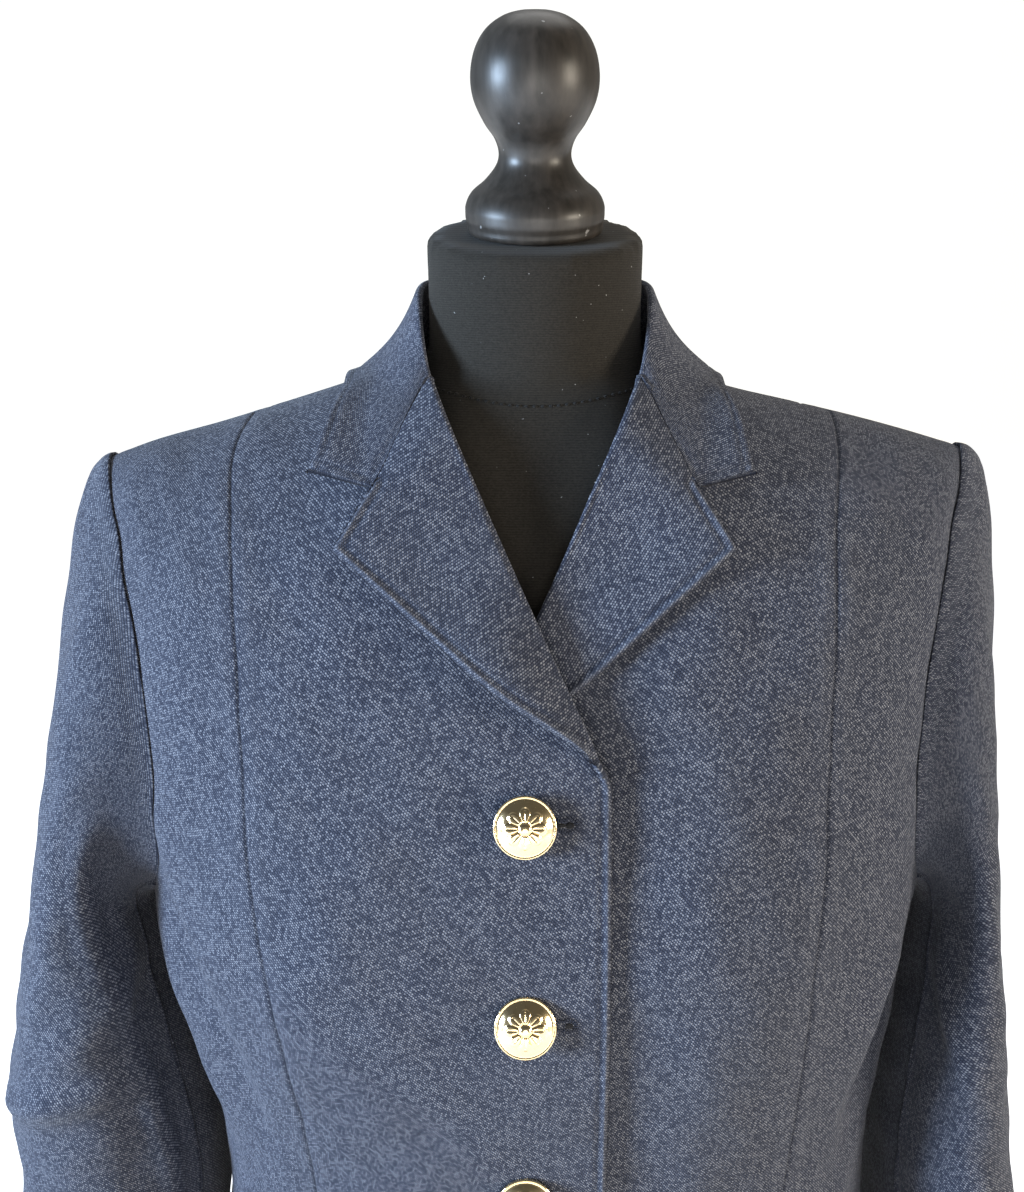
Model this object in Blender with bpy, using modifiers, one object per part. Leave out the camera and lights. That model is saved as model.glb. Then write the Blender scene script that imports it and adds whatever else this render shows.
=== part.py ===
"""Military dress tunic, worn by a limbless dress form with a turned finial, a post and a round foot.

Metres, +Z up, the front faces -Y and the wearer's left is +X. "drop" is the depth below the shoulder tips.
"angle" goes round the body in degrees: 0 at the centre front, 90 at the wearer's left side, -90 at the right
side and 180 at the centre back. "fall" is the length along the cloth, down from the shoulder ridge.
"across" is the distance from the centre line towards a piece's own side: side +1 is left, -1 is right.
"""

import math

import bmesh
import bpy
import numpy as np
from mathutils import Vector
from mathutils.bvhtree import BVHTree

# Centre line and height of the shoulder tips. The foot stands at height 0, and the centre line
# is off the middle because the right sleeve hangs further out.
SHOULDERS = Vector((0.009, 0, 0.770))
HEM_DROP = 0.600
SEAM_GAP = 0.0003  # clear space between two pieces that are sewn together

CLOTH = 0.0018  # wool with its interlining
LAPEL_CLOTH = 0.0016
LAPEL_LIFT = 0.0025  # outside of a lapel or collar above the panel that it lies on
# How far the upper lapel stands off the front above its break, and where along its length.
LAPEL_SPRING = {"height": 0.0035, "share": 0.72, "wide": 0.22, "half_turns": 0.75}
ROLL_RADIUS = 0.0020  # outer radius of the fold of lapel and collar

RIGHT, LEFT = -1, 1

# Half widths, front depth and back depth of the cloth at each drop.
REFERENCE_HALF = 0.206
ROUNDNESS = 2.35


def table(columns, *rows):
    """A short table as one array for each named column."""
    return dict(zip(columns.split(), np.array(rows, float).T))


BODY = table(
    "drop half_right half_left front back",
    (-0.08, 0.206, 0.206, 0.040, 0.060),
    (-0.04, 0.206, 0.206, 0.056, 0.077),
    (0.00, 0.206, 0.206, 0.082, 0.092),
    (0.04, 0.201, 0.201, 0.104, 0.108),
    (0.08, 0.197, 0.197, 0.121, 0.117),
    (0.12, 0.193, 0.193, 0.132, 0.121),
    (0.16, 0.190, 0.190, 0.139, 0.119),
    (0.20, 0.1875, 0.1875, 0.142, 0.114),
    (0.24, 0.181, 0.184, 0.140, 0.106),
    (0.28, 0.171, 0.179, 0.134, 0.097),
    (0.32, 0.163, 0.174, 0.127, 0.090),
    (0.36, 0.160, 0.172, 0.123, 0.087),
    (0.41, 0.165, 0.174, 0.124, 0.093),
    (0.46, 0.178, 0.182, 0.129, 0.107),
    (0.52, 0.193, 0.194, 0.134, 0.121),
    (0.60, 0.206, 0.206, 0.138, 0.130),
)
# The shoulder ridge above the shoulder tips, and the radius at which cloth turns over it.
RIDGE = table(
    "across right left radius",
    (0.000, 0.0740, 0.0740, 0.050),
    (0.043, 0.0560, 0.0555, 0.050),
    (0.055, 0.0480, 0.0475, 0.054),
    (0.072, 0.0395, 0.0380, 0.060),
    (0.090, 0.0336, 0.0324, 0.070),
    (0.118, 0.0248, 0.0259, 0.075),
    (0.147, 0.0160, 0.0192, 0.072),
    (0.182, 0.0063, 0.0098, 0.064),
    (0.203, -0.0012, 0.0034, 0.056),
    (0.206, -0.0022, 0.0024, 0.055),
)
BODY_GIRTH = 0.97
BUST = {"height": 0.008, "across": 0.095, "drop": 0.20, "wide": 0.05, "tall": 0.07}
# Large soft folds, as ridges (height above 0) or troughs between two places on the cloth.
FOLDS = table(
    "angle_top drop_top angle_low drop_low width height",
    (-66, 0.165, -40, 0.300, 0.014, -0.0045),
    (-72, 0.200, -52, 0.330, 0.013, 0.0035),
    (70, 0.200, 56, 0.330, 0.020, -0.0080),
    (58, 0.190, 44, 0.285, 0.018, 0.0050),
    (128, 0.210, 150, 0.330, 0.016, -0.0045),
    (-126, 0.220, -148, 0.330, 0.015, -0.0040),
    (-112, 0.400, -100, 0.520, 0.016, 0.0035),
    (104, 0.410, 112, 0.540, 0.016, 0.0030),
)
FOLD_REACH = 0.42  # share of a fold's length, from its middle, over which it fades out

# Seam lines of the body, as angles at each drop.
PRINCESS = table(
    "drop right left back",
    (-0.025, 35.5, 38.7, 146),
    (-0.010, 37.0, 37.8, 146),
    (0.018, 36.1, 35.8, 147),
    (0.075, 35.3, 35.6, 149),
    (0.163, 34.8, 35.8, 151),
    (0.205, 33.4, 35.1, 151),
    (0.254, 32.6, 36.0, 151),
    (0.300, 33.6, 37.2, 151),
    (0.360, 35.0, 38.0, 151),
    (0.600, 37.0, 38.0, 147),
)
# The armhole from the shoulder tip (turn 0) by the front and the underarm (0.5) back to the tip (1).
ARMHOLE = table(
    "turn angle drop",
    (0.00, 77, 0.000),
    (0.10, 66.3, 0.033),
    (0.19, 61.2, 0.073),
    (0.26, 60.0, 0.110),
    (0.33, 61.5, 0.147),
    (0.39, 66.0, 0.176),
    (0.45, 77.0, 0.197),
    (0.50, 90, 0.205),
    (0.55, 103, 0.198),
    (0.61, 113.0, 0.179),
    (0.68, 118.5, 0.147),
    (0.76, 119.5, 0.104),
    (0.85, 115.5, 0.058),
    (0.93, 109.0, 0.022),
    (1.00, 103, 0.000),
)
TIP_TURN = 0.06  # the armhole starts on the ridge and leaves it over this share of its way round
UNDERARM_DROP = 0.205
ARMHOLE_ROWS = 12  # rows of a side panel along its half of the armhole
SIDE_ROWS = 10  # rows of a panel below the underarm
PRINCESS_UNDERARM_DROP = 0.215

# The front's own edge: neck point, gorge, roll line down to the break, and front edge.
NECK_POINT = 0.073  # across, on the shoulder ridge
ROLL_TOP = (0.0441, -0.0386)  # across and drop of the top of the roll line
BREAK = (-0.0292, 0.1105)
FRONT_EDGE = -0.031
BACK_NECK_DROP = -0.052
# Outer edge of a lapel below its notch, at shares of the way down the roll line.
LAPEL_EDGE = table(
    "share across drop",
    (0.00, 0.0668, 0.0035),
    (0.15, 0.0820, 0.0280),
    (0.22, 0.0735, 0.0345),
    (0.42, 0.0535, 0.0500),
    (0.58, 0.0360, 0.0640),
    (0.72, 0.0190, 0.0785),
    (0.82, 0.0060, 0.0860),
    (0.90, -0.0070, 0.0935),
    (0.96, -0.0175, 0.1000),
    (1.00, -0.0240, 0.1070),
)
# How far the left front lies in: under the right front, and deeper where the left lapel goes with it.
OVERLAP_SINK = 0.0030
OVERLAP_EDGES = (0.036, 0.078)  # across, from fully sunk to level
OVERLAP_STARTS = (-0.010, 0.030)  # drop
LAPEL_SINK = 0.0036
LAPEL_EDGES = (0.018, 0.058)
LAPEL_STARTS, LAPEL_ENDS = (0.000, 0.036), (0.120, 0.160)

# Collar: the top of its fold and its style edge, from the centre back (station 0) to its front end (1).
COLLAR = table(
    "station roll_x roll_y roll_z edge_x edge_y edge_z",
    (0.00, 0.0000, 0.0660, 0.0840, 0.0000, 0.0860, 0.0340),
    (0.20, 0.0270, 0.0590, 0.0835, 0.0430, 0.0790, 0.0350),
    (0.40, 0.0455, 0.0350, 0.0815, 0.0760, 0.0440, 0.0380),
    (0.58, 0.0520, 0.0040, 0.0780, 0.0865, 0.0040, 0.0380),
    (0.72, 0.0510, -0.0170, 0.0680, 0.0860, -0.0260, 0.0305),
    (0.86, 0.0485, -0.0340, 0.0530, 0.0880, -0.0490, 0.0160),
    (1.00, 0.0441, -0.0450, 0.0400, 0.0909, -0.0673, -0.0010),
)
COLLAR_TIP = (0.0905, 0.0012)  # across and drop
COLLAR_STATION_OF_NECK_POINT = 0.58
COLLAR_CLOTH = 0.0016
COLLAR_LIFT = 0.0040  # outside of the collar above the shoulders and back
COLLAR_BOW = 0.0030  # how far the fall bends in between its fold and its edge
STAND_SEAM_LIFT = 0.0016  # the stand's lower edge above the body cloth
GORGE_GAP = 0.0009  # clear space at each end of the collar

# Sleeves below the armpit: inner, outer, front and back sides of the ring at each drop.
SLEEVES = {
    RIGHT: table(
        "drop inner outer front back",
        (0.215, 0.1905, 0.2445, -0.078, 0.070),
        (0.260, 0.1820, 0.2555, -0.077, 0.066),
        (0.310, 0.1740, 0.2662, -0.073, 0.056),
        (0.360, 0.1700, 0.2690, -0.068, 0.042),
        (0.420, 0.1740, 0.2710, -0.069, 0.032),
        (0.480, 0.1880, 0.2750, -0.075, 0.022),
        (0.530, 0.2020, 0.2830, -0.081, 0.014),
        (0.585, 0.2130, 0.2860, -0.086, 0.008),
    ),
    LEFT: table(
        "drop inner outer front back",
        (0.215, 0.1905, 0.2185, -0.084, 0.074),
        (0.260, 0.1875, 0.2262, -0.085, 0.071),
        (0.310, 0.1850, 0.2350, -0.082, 0.063),
        (0.360, 0.1850, 0.2425, -0.079, 0.052),
        (0.420, 0.1880, 0.2470, -0.079, 0.043),
        (0.480, 0.1960, 0.2520, -0.083, 0.033),
        (0.530, 0.2050, 0.2590, -0.088, 0.025),
        (0.585, 0.2130, 0.2680, -0.092, 0.018),
    ),
}
SLEEVE_ROUNDNESS = 2.3
CUFF_DROP = 0.585
CAP_ROWS = 7
CAP_ROW_POWER = 1.4  # rows lie closer together near the armhole seam
ARM_TURN = 1.5  # how far the arm's direction follows the armhole round
TUBE_ROWS = 9
UNDER_SLEEVE = (10, 18)  # first and last of the ring's columns that the under sleeve covers
# How a sleeve's cap leaves the armhole: reach along the arm, rise off the body, and pull at the ring.
CAP = table(
    "turn reach rise pull",
    (0.00, 0.017, 0.0070, 0.095),
    (0.25, 0.016, 0.0040, 0.060),
    (0.50, 0.003, 0.0000, 0.004),
    (0.75, 0.016, 0.0040, 0.060),
    (1.00, 0.017, 0.0070, 0.095),
)
CAP_FULLNESS = {RIGHT: 0.9, LEFT: 1.55}
CAP_GAP = 0.0006
SLEEVE_SEAM_GAP = 0.0010  # between top sleeve and under sleeve, where creases cross the seams
SLEEVE_GIRTH = 0.36
SLEEVE_FOLDS = {
    RIGHT: table(
        "turn_a drop_a turn_b drop_b width height",
        (0.02, 0.345, 0.33, 0.325, 0.012, -0.0070),
        (0.02, 0.375, 0.30, 0.360, 0.013, 0.0030),
        (0.42, 0.215, 0.22, 0.290, 0.013, -0.0050),
        (0.70, 0.330, 1.00, 0.350, 0.014, -0.0050),
        (0.64, 0.400, 0.90, 0.420, 0.014, -0.0040),
    ),
    LEFT: table(
        "turn_a drop_a turn_b drop_b width height",
        (0.06, 0.180, 0.07, 0.420, 0.009, 0.0040),
        (0.40, 0.220, 0.24, 0.300, 0.012, -0.0045),
        (0.30, 0.350, 0.10, 0.375, 0.012, -0.0040),
        (0.66, 0.330, 0.94, 0.350, 0.014, -0.0045),
    ),
}

# Buttons, on the right front.
BUTTON_ACROSS = 0.004
BUTTON_DROPS = (0.132, 0.220, 0.309, 0.397)
BUTTON_PROFILE = table(
    "radius height",
    (0.0000, 0.0086),
    (0.0045, 0.0083),
    (0.0085, 0.0072),
    (0.0112, 0.0057),
    (0.0122, 0.0056),
    (0.0127, 0.0050),
    (0.0125, 0.0041),
    (0.0085, 0.0036),
    (0.0030, 0.0034),
    (0.0026, 0.0004),
    (0.0000, 0.0004),
)
BUTTON_STEPS = 18

# Dress form, finial, post and foot.
FORM_INSET = table(  # how far the form lies inside the cloth's outside
    "fall front side",
    (0.00, 0.0048, 0.0048),
    (0.03, 0.0060, 0.0058),
    (0.08, 0.0104, 0.0084),
    (0.25, 0.0120, 0.0110),
    (0.45, 0.0110, 0.0110),
    (0.75, 0.0090, 0.0090),
)
FORM_COLUMNS = 32
FORM_ROWS = 18
FORM_ROW_POWER = 1.15  # rows lie closer together near the shoulder ridge
FORM_FRONT = (38, 78)  # angles from the centre front between which the front's inset turns into the side's
FORM_DROP = 0.630
FORM_HALF = 0.1965  # the form is cut off flat where its arms would be
NECK_LEAN = math.radians(13)
NECK_PLATE = 0.101  # height of the neck's top plate above the shoulder tips, on its axis
NECK_Y = -0.0068
NECK_PROFILE = table(
    "radius height",
    (0.0000, 0.0000),
    (0.0410, 0.0000),
    (0.0455, -0.0018),
    (0.0478, -0.0062),
    (0.0488, -0.0240),
    (0.0494, -0.0460),
    (0.0520, -0.0660),
    (0.0550, -0.0880),
    (0.0000, -0.0880),
)
NECK_STEPS = 32
FINIAL_PROFILE = table(
    "radius height",
    (0.0000, 0.0942),
    (0.0060, 0.0938),
    (0.0125, 0.0912),
    (0.0196, 0.0860),
    (0.0250, 0.0780),
    (0.0277, 0.0670),
    (0.0266, 0.0570),
    (0.0222, 0.0476),
    (0.0178, 0.0412),
    (0.0160, 0.0350),
    (0.0174, 0.0295),
    (0.0225, 0.0232),
    (0.0285, 0.0180),
    (0.0312, 0.0120),
    (0.0306, 0.0055),
    (0.0270, 0.0003),
    (0.0000, 0.0003),
)
FINIAL_STEPS = 24
POST_RADIUS = 0.016
FOOT_PROFILE = table(
    "radius height",
    (0.000, 0.0300),
    (0.030, 0.0300),
    (0.040, 0.0265),
    (0.060, 0.0225),
    (0.110, 0.0190),
    (0.142, 0.0160),
    (0.150, 0.0110),
    (0.150, 0.0030),
    (0.147, 0.0000),
    (0.000, 0.0000),
)
FOOT_STEPS = 36

MATERIALS = {  # colour, roughness, metallic
    "tunic_cloth": ((0.055, 0.080, 0.140), 0.90, 0.0),
    "button_gilt": ((0.800, 0.560, 0.250), 0.20, 1.0),
    "form_jersey": ((0.012, 0.012, 0.013), 0.85, 0.0),
    "stained_wood": ((0.010, 0.009, 0.009), 0.32, 0.0),
}


def smooth(rows, key, column, at):
    """Read a column of a table on a smooth curve through its rows, held level past both ends."""
    known, value = rows[key], rows[column]
    slope = np.gradient(value, known)
    at = np.clip(np.asarray(at, float), known[0], known[-1])
    row = np.clip(np.searchsorted(known, at, side="right") - 1, 0, len(known) - 2)
    step = known[row + 1] - known[row]
    share = (at - known[row]) / step
    square, cube = share**2, share**3
    return (
        (2 * cube - 3 * square + 1) * value[row]
        + (cube - 2 * square + share) * step * slope[row]
        + (3 * square - 2 * cube) * value[row + 1]
        + (cube - square) * step * slope[row + 1]
    )


def step_up(low, high, at):
    """0 below low, 1 above high and a soft step between them."""
    share = np.clip((at - low) / (high - low), 0, 1)
    return share**2 * (3 - 2 * share)


def signed_power(value, power):
    return np.sign(value) * np.abs(value) ** power


def unit(vectors):
    return vectors / np.maximum(np.linalg.norm(vectors, axis=-1, keepdims=True), 1e-12)


def fold_height(folds, keys, place, drop, around, girth):
    """Sum of a table's soft ridges and troughs at a place that repeats after each turn round the girth."""
    total = np.zeros(np.broadcast(place, drop).shape)
    top, top_drop, low, low_drop = (folds[key] for key in keys)
    scale = girth / around
    for i in range(len(top)):
        run = np.array([(low[i] - top[i]) * scale, low_drop[i] - top_drop[i]])
        x = ((place - top[i] + around / 2) % around - around / 2) * scale
        y = drop - top_drop[i]
        share = (x * run[0] + y * run[1]) / (run @ run)
        off = (x * run[1] - y * run[0]) / np.linalg.norm(run)
        fade = np.exp(-(((share - 0.5) / FOLD_REACH) ** 4))
        total = total + folds["height"][i] * fade * np.exp(-((off / folds["width"][i]) ** 2))
    return total


def ridge_of(angle):
    sine = np.sin(np.radians(angle))
    across = REFERENCE_HALF * np.abs(sine) ** (2 / ROUNDNESS)
    right, left, radius = (smooth(RIDGE, "across", key, across) for key in ("right", "left", "radius"))
    return np.where(sine < 0, right, left), radius


def drop_of(angle, fall):
    height, radius = ridge_of(angle)
    turn = np.minimum(fall / radius, math.pi / 2)
    return radius * (1 - np.cos(turn)) + np.maximum(fall - radius * math.pi / 2, 0) - height


def fall_of(angle, drop):
    height, radius = ridge_of(angle)
    depth = np.maximum(drop + height, 0)
    turned = radius * np.arccos(np.clip(1 - depth / radius, -1, 1))
    return np.where(depth < radius, turned, depth + radius * (math.pi / 2 - 1))


def angle_of(across, drop, side):
    """Angle on the front of a place at that distance from the centre line."""
    half = half_width(side * np.sign(across), drop)
    return side * np.sign(across) * np.degrees(np.arcsin((np.abs(across) / half) ** (ROUNDNESS / 2)))


def half_width(sign, drop):
    right = smooth(BODY, "drop", "half_right", drop)
    left = smooth(BODY, "drop", "half_left", drop)
    return np.where(sign < 0, right, left)


def torso_plain(angle, fall):
    """Point on the outside of the body, before its folds."""
    angle, fall = np.broadcast_arrays(np.asarray(angle, float), np.asarray(fall, float))
    sine = signed_power(np.sin(np.radians(angle)), 2 / ROUNDNESS)
    cosine = signed_power(np.cos(np.radians(angle)), 2 / ROUNDNESS)
    radius = ridge_of(angle)[1]
    drop = drop_of(angle, fall)
    outward = np.sin(np.minimum(fall / radius, math.pi / 2))
    x = half_width(sine, drop) * sine
    bust = BUST["height"] * np.exp(
        -(((np.abs(x) - BUST["across"]) / BUST["wide"]) ** 2)
        - ((drop - BUST["drop"]) / BUST["tall"]) ** 2
    )
    front = -(smooth(BODY, "drop", "front", drop) * cosine + bust)
    back = -smooth(BODY, "drop", "back", drop) * cosine
    y = np.where(cosine > 0, front, back) * outward
    return np.stack([x, y, -drop], -1)


def torso_normal(angle, fall):
    turn, down = 0.2, 0.0005
    fall = np.maximum(np.asarray(fall, float), down)
    along = torso_plain(angle, fall + down) - torso_plain(angle, fall - down)
    around = torso_plain(angle + turn, fall) - torso_plain(angle - turn, fall)
    return unit(np.cross(along, around))


def torso(angle, fall, lift=0.0):
    """Point on the body cloth, moved out by lift. Heights are still measured from the shoulder tips."""
    drop = drop_of(angle, fall)
    keys = ("angle_top", "drop_top", "angle_low", "drop_low")
    fold = fold_height(FOLDS, keys, angle, drop, 360, BODY_GIRTH)
    return torso_plain(angle, fall) + torso_normal(angle, fall) * (lift + fold)[..., None]


def sink_of_left_front(angle, fall):
    """How far the left front and its lapel lie under the right front."""
    drop = drop_of(angle, fall)
    across = torso_plain(angle, fall)[..., 0]
    under = OVERLAP_SINK * (1 - step_up(*OVERLAP_EDGES, across)) * step_up(*OVERLAP_STARTS, drop)
    deep = LAPEL_SINK * (1 - step_up(*LAPEL_EDGES, across))
    deep = deep * step_up(*LAPEL_STARTS, drop) * (1 - step_up(*LAPEL_ENDS, drop))
    return (under + deep) * (np.abs(angle) < 90)


def lift_of(side, angle, fall):
    return -sink_of_left_front(angle, fall) if side == LEFT else np.zeros(np.shape(angle))


ROWS = ARMHOLE_ROWS + SIDE_ROWS
BELOW = np.linspace(0, 1, SIDE_ROWS + 1)[1:]


def rows_to_hem(upper, side_angle, start_drop):
    """Angle and fall of a seam: its upper rows as given, then evenly down to the hem."""
    drops = start_drop + (HEM_DROP - start_drop) * BELOW
    angles = side_angle(drops)
    lower = np.stack([angles, fall_of(angles, drops)], -1)
    return np.concatenate([upper, lower])


def princess_line(side, back):
    column = "back" if back else {RIGHT: "right", LEFT: "left"}[side]

    def angle_at(drop):
        return side * smooth(PRINCESS, "drop", column, drop)

    falls = np.linspace(0, 1, ARMHOLE_ROWS + 1)
    top = angle_at(PRINCESS["drop"][0])
    falls = falls * fall_of(top, PRINCESS_UNDERARM_DROP)
    angles = angle_at(drop_of(top, falls))
    return rows_to_hem(np.stack([angles, falls], -1), angle_at, PRINCESS_UNDERARM_DROP)


def armhole(side, turn):
    """Angle and fall of the armhole seam at a share of the way round it."""
    angle = smooth(ARMHOLE, "turn", "angle", turn)
    fall = fall_of(angle, smooth(ARMHOLE, "turn", "drop", turn))
    fall = fall * step_up(0, TIP_TURN, np.minimum(turn, 1 - turn)) ** 0.5
    return np.stack([side * angle, fall], -1)


def side_line(side, back):
    turns = np.linspace(0, 0.5, ARMHOLE_ROWS + 1)
    upper = armhole(side, 1 - turns if back else turns)
    return rows_to_hem(upper, lambda drop: side * np.full(np.shape(drop), 90.0), UNDERARM_DROP)


def ridge_angle(across, side):
    return side * np.degrees(np.arcsin((across / REFERENCE_HALF) ** (ROUNDNESS / 2)))


def on_front(across, drop, side):
    angle = angle_of(across, drop, side)
    return np.stack([angle, fall_of(angle, drop)], -1)


def roll_line(share, off=0.0):
    """Across and drop of the roll line, at a share of its way down, moved sideways by off."""
    top, low = np.array(ROLL_TOP), np.array(BREAK)
    away = unit(np.array([low[1] - top[1], top[0] - low[0]]))
    share = np.asarray(share, float)[..., None]
    return top + (low - top) * share + away * np.asarray(off, float)[..., None]


def neckline(side, station):
    """Angle and fall of the neck seam, from the centre back (station 0) to the top of the roll line (1)."""
    station = np.asarray(station, float)
    point = ridge_angle(NECK_POINT, 1)
    back_turn = np.clip(station / COLLAR_STATION_OF_NECK_POINT, 0, 1) * math.pi / 2
    back_angle = 180 - point * np.sin(back_turn)
    back_fall = fall_of(180.0, BACK_NECK_DROP) * np.cos(back_turn)
    gorge = on_front(*roll_line(0.0, ROLL_RADIUS + SEAM_GAP), LEFT)
    share = np.clip(
        (station - COLLAR_STATION_OF_NECK_POINT) / (1 - COLLAR_STATION_OF_NECK_POINT), 0, 1
    )
    front = station > COLLAR_STATION_OF_NECK_POINT
    angle = np.where(front, point + (gorge[0] - point) * share, back_angle)
    fall = np.where(front, gorge[1] * share, back_fall)
    return np.stack([side * angle, fall], -1)


NECK_ROWS = 3
ROLL_ROWS = 7


def front_line(side):
    """The front's own edge, row by row: neck seam, roll line, front edge."""
    stations = np.linspace(COLLAR_STATION_OF_NECK_POINT + 1e-6, 1, NECK_ROWS + 1)[:-1]
    shares = np.linspace(0, 1, ROLL_ROWS + 1)
    off = (ROLL_RADIUS + SEAM_GAP) * (1 - step_up(0.85, 1.0, shares))
    roll = roll_line(shares, off)
    drops = np.linspace(BREAK[1], HEM_DROP, ROWS - NECK_ROWS - ROLL_ROWS + 1)[1:]
    edge = on_front(np.full(drops.shape, FRONT_EDGE), drops, side)
    return np.concatenate([neckline(side, stations), on_front(roll[:, 0], roll[:, 1], side), edge])


BACK_NECK_ROWS = 5


def back_line(side):
    """The back's own edge, row by row: neck seam, then the centre back."""
    stations = np.linspace(COLLAR_STATION_OF_NECK_POINT, 0, BACK_NECK_ROWS + 1)
    drops = np.linspace(BACK_NECK_DROP, HEM_DROP, ROWS - BACK_NECK_ROWS + 1)[1:]
    angles = np.full(drops.shape, side * 180.0)
    return np.concatenate([neckline(side, stations), np.stack([angles, fall_of(angles, drops)], -1)])


def clear_edges(points, gap, edges):
    """Pull the edges of a grid of points back by gap, so that two sewn pieces stay apart."""
    for edge in edges:
        line, inner = {
            "first": (np.s_[:, 0], np.s_[:, 1]),
            "last": (np.s_[:, -1], np.s_[:, -2]),
            "top": (np.s_[0], np.s_[1]),
        }[edge]
        shift = unit(points[inner][..., 0, :] - points[line][..., 0, :]) * gap
        points[line] = points[line] + shift[..., None, :]
    return points


def moulded(name, grid, material):
    """A slab of cloth bent to a grid of points, indexed by row, column and face (0 outside, 1 inside)."""
    rows, columns = grid.shape[0] - 1, grid.shape[1] - 1
    shape = bmesh.new()
    bmesh.ops.create_grid(shape, x_segments=columns, y_segments=rows, size=1)
    for vertex in shape.verts:
        vertex.co.z = 0.0
    walls = bmesh.ops.extrude_face_region(shape, geom=list(shape.faces))
    for item in walls["geom"]:
        if isinstance(item, bmesh.types.BMVert):
            item.co.z = 1.0
    for vertex in shape.verts:
        column = round((vertex.co.x + 1) / 2 * columns)
        row = round((1 - vertex.co.y) / 2 * rows)
        vertex.co = grid[row, column, 0 if vertex.co.z > 0.5 else 1]
    return finished(name, shape, material)


def finished(name, shape, material, location=SHOULDERS):
    bmesh.ops.recalc_face_normals(shape, faces=shape.faces)
    if shape.calc_volume(signed=True) < 0:
        bmesh.ops.reverse_faces(shape, faces=shape.faces)
    mesh = bpy.data.meshes.new(name)
    shape.to_mesh(mesh)
    shape.free()
    mesh.shade_smooth()
    mesh.set_sharp_from_angle(angle=math.radians(50))
    return placed(name, mesh, material, location)


def placed(name, data, material, location):
    piece = bpy.data.objects.new(name, data)
    piece.location = location
    data.materials.append(material_of(material))
    bpy.data.collections["dress_tunic"].objects.link(piece)
    return piece


def material_of(name):
    found = bpy.data.materials.get(name)
    if found:
        return found
    colour, roughness, metallic = MATERIALS[name]
    made = bpy.data.materials.new(name)
    made.use_nodes = True
    shader = made.node_tree.nodes["Principled BSDF"]
    shader.inputs["Base Color"].default_value = (*colour, 1)
    shader.inputs["Roughness"].default_value = roughness
    shader.inputs["Metallic"].default_value = metallic
    return made


def side_name(name, side):
    return name + {RIGHT: "_right", LEFT: "_left"}[side]


def body_panel(name, side, inner, outer, columns):
    """A panel of the body between two seam lines that have one point for each row."""
    share = np.linspace(0, 1, columns + 1)[None, :, None]
    place = inner[:, None] * (1 - share) + outer[:, None] * share
    angle, fall = place[..., 0], place[..., 1]
    lift = lift_of(side, angle, fall)
    grid = np.stack([torso(angle, fall, lift), torso(angle, fall, lift - CLOTH)], 2)
    clear_edges(grid, SEAM_GAP / 2, ("first", "last", "top"))
    return moulded(side_name(name, side), grid, "tunic_cloth")


def body_panels(side):
    princess = princess_line(side, back=False)
    back_princess = princess_line(side, back=True)
    body_panel("front", side, front_line(side), princess, columns=8)
    body_panel("side_front", side, princess, side_line(side, back=False), columns=6)
    body_panel("side_back", side, back_princess, side_line(side, back=True), columns=6)
    body_panel("back", side, back_line(side), back_princess, columns=6)


def surface_wall(surface, columns, rows, thickness, sign):
    """Outer and inner points of a wall whose outside is a surface of two parameters."""
    small = 1e-4
    u, v = np.meshgrid(columns, rows)
    along = surface(u, v + small) - surface(u, v - small)
    around = surface(u + small, v) - surface(u - small, v)
    outward = unit(np.cross(along, around)) * sign
    outer = surface(u, v)
    return np.stack([outer, outer - outward * thickness], 2)


LAPEL_ROWS = 16
LAPEL_COLUMNS = 6
WRAP_COLUMNS = 4
LOWEST_WRAP, FULL_WRAP = 25, 150  # degrees that a lapel turns round the front's edge, at its break and above
LEFT_LAPEL_END = 0.86  # the left lapel's end is out of sight under the right front


def lapel_surface(side):
    """Outside of a lapel: u from -1 goes round its fold to 0, then to 1 at its outer edge; v runs down."""

    def surface(u, v):
        u, v = np.broadcast_arrays(u, v)
        flat = np.maximum(u, 0)[..., None]
        keys = ("across", "drop")
        edge = np.stack([np.interp(v, LAPEL_EDGE["share"], LAPEL_EDGE[key]) for key in keys], -1)
        folded = 1 - step_up(0.80, 1.0, v)
        wrap = np.maximum(-u, 0) * np.radians(LOWEST_WRAP + (FULL_WRAP - LOWEST_WRAP) * folded)
        start = roll_line(v, ROLL_RADIUS + 0 * v)
        round_fold = roll_line(0 * v, -ROLL_RADIUS * np.sin(wrap)) - roll_line(0 * v)
        place = start + (edge - start) * flat + round_fold
        at = on_front(place[..., 0], place[..., 1], side)
        lift = LAPEL_LIFT - ROLL_RADIUS * (1 - np.cos(wrap)) + lift_of(side, at[..., 0], at[..., 1])
        if side == RIGHT:
            along = np.exp(-(((v - LAPEL_SPRING["share"]) / LAPEL_SPRING["wide"]) ** 2))
            rise = np.sin(math.pi * LAPEL_SPRING["half_turns"] * flat[..., 0])
            lift = lift + LAPEL_SPRING["height"] * along * rise
        return torso(at[..., 0], at[..., 1], lift)

    return surface


def lapel(side):
    rows = np.linspace(0.0, 1.0 if side == RIGHT else LEFT_LAPEL_END, LAPEL_ROWS + 1)
    wrap = np.linspace(-1, 0, WRAP_COLUMNS + 1)[:-1]
    columns = np.concatenate([wrap, np.linspace(0, 1, LAPEL_COLUMNS + 1)])
    grid = surface_wall(lapel_surface(side), columns, rows, LAPEL_CLOTH, side)
    clear_edges(grid, SEAM_GAP / 2, ("top",))
    return moulded(side_name("lapel", side), grid, "tunic_cloth")


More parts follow.
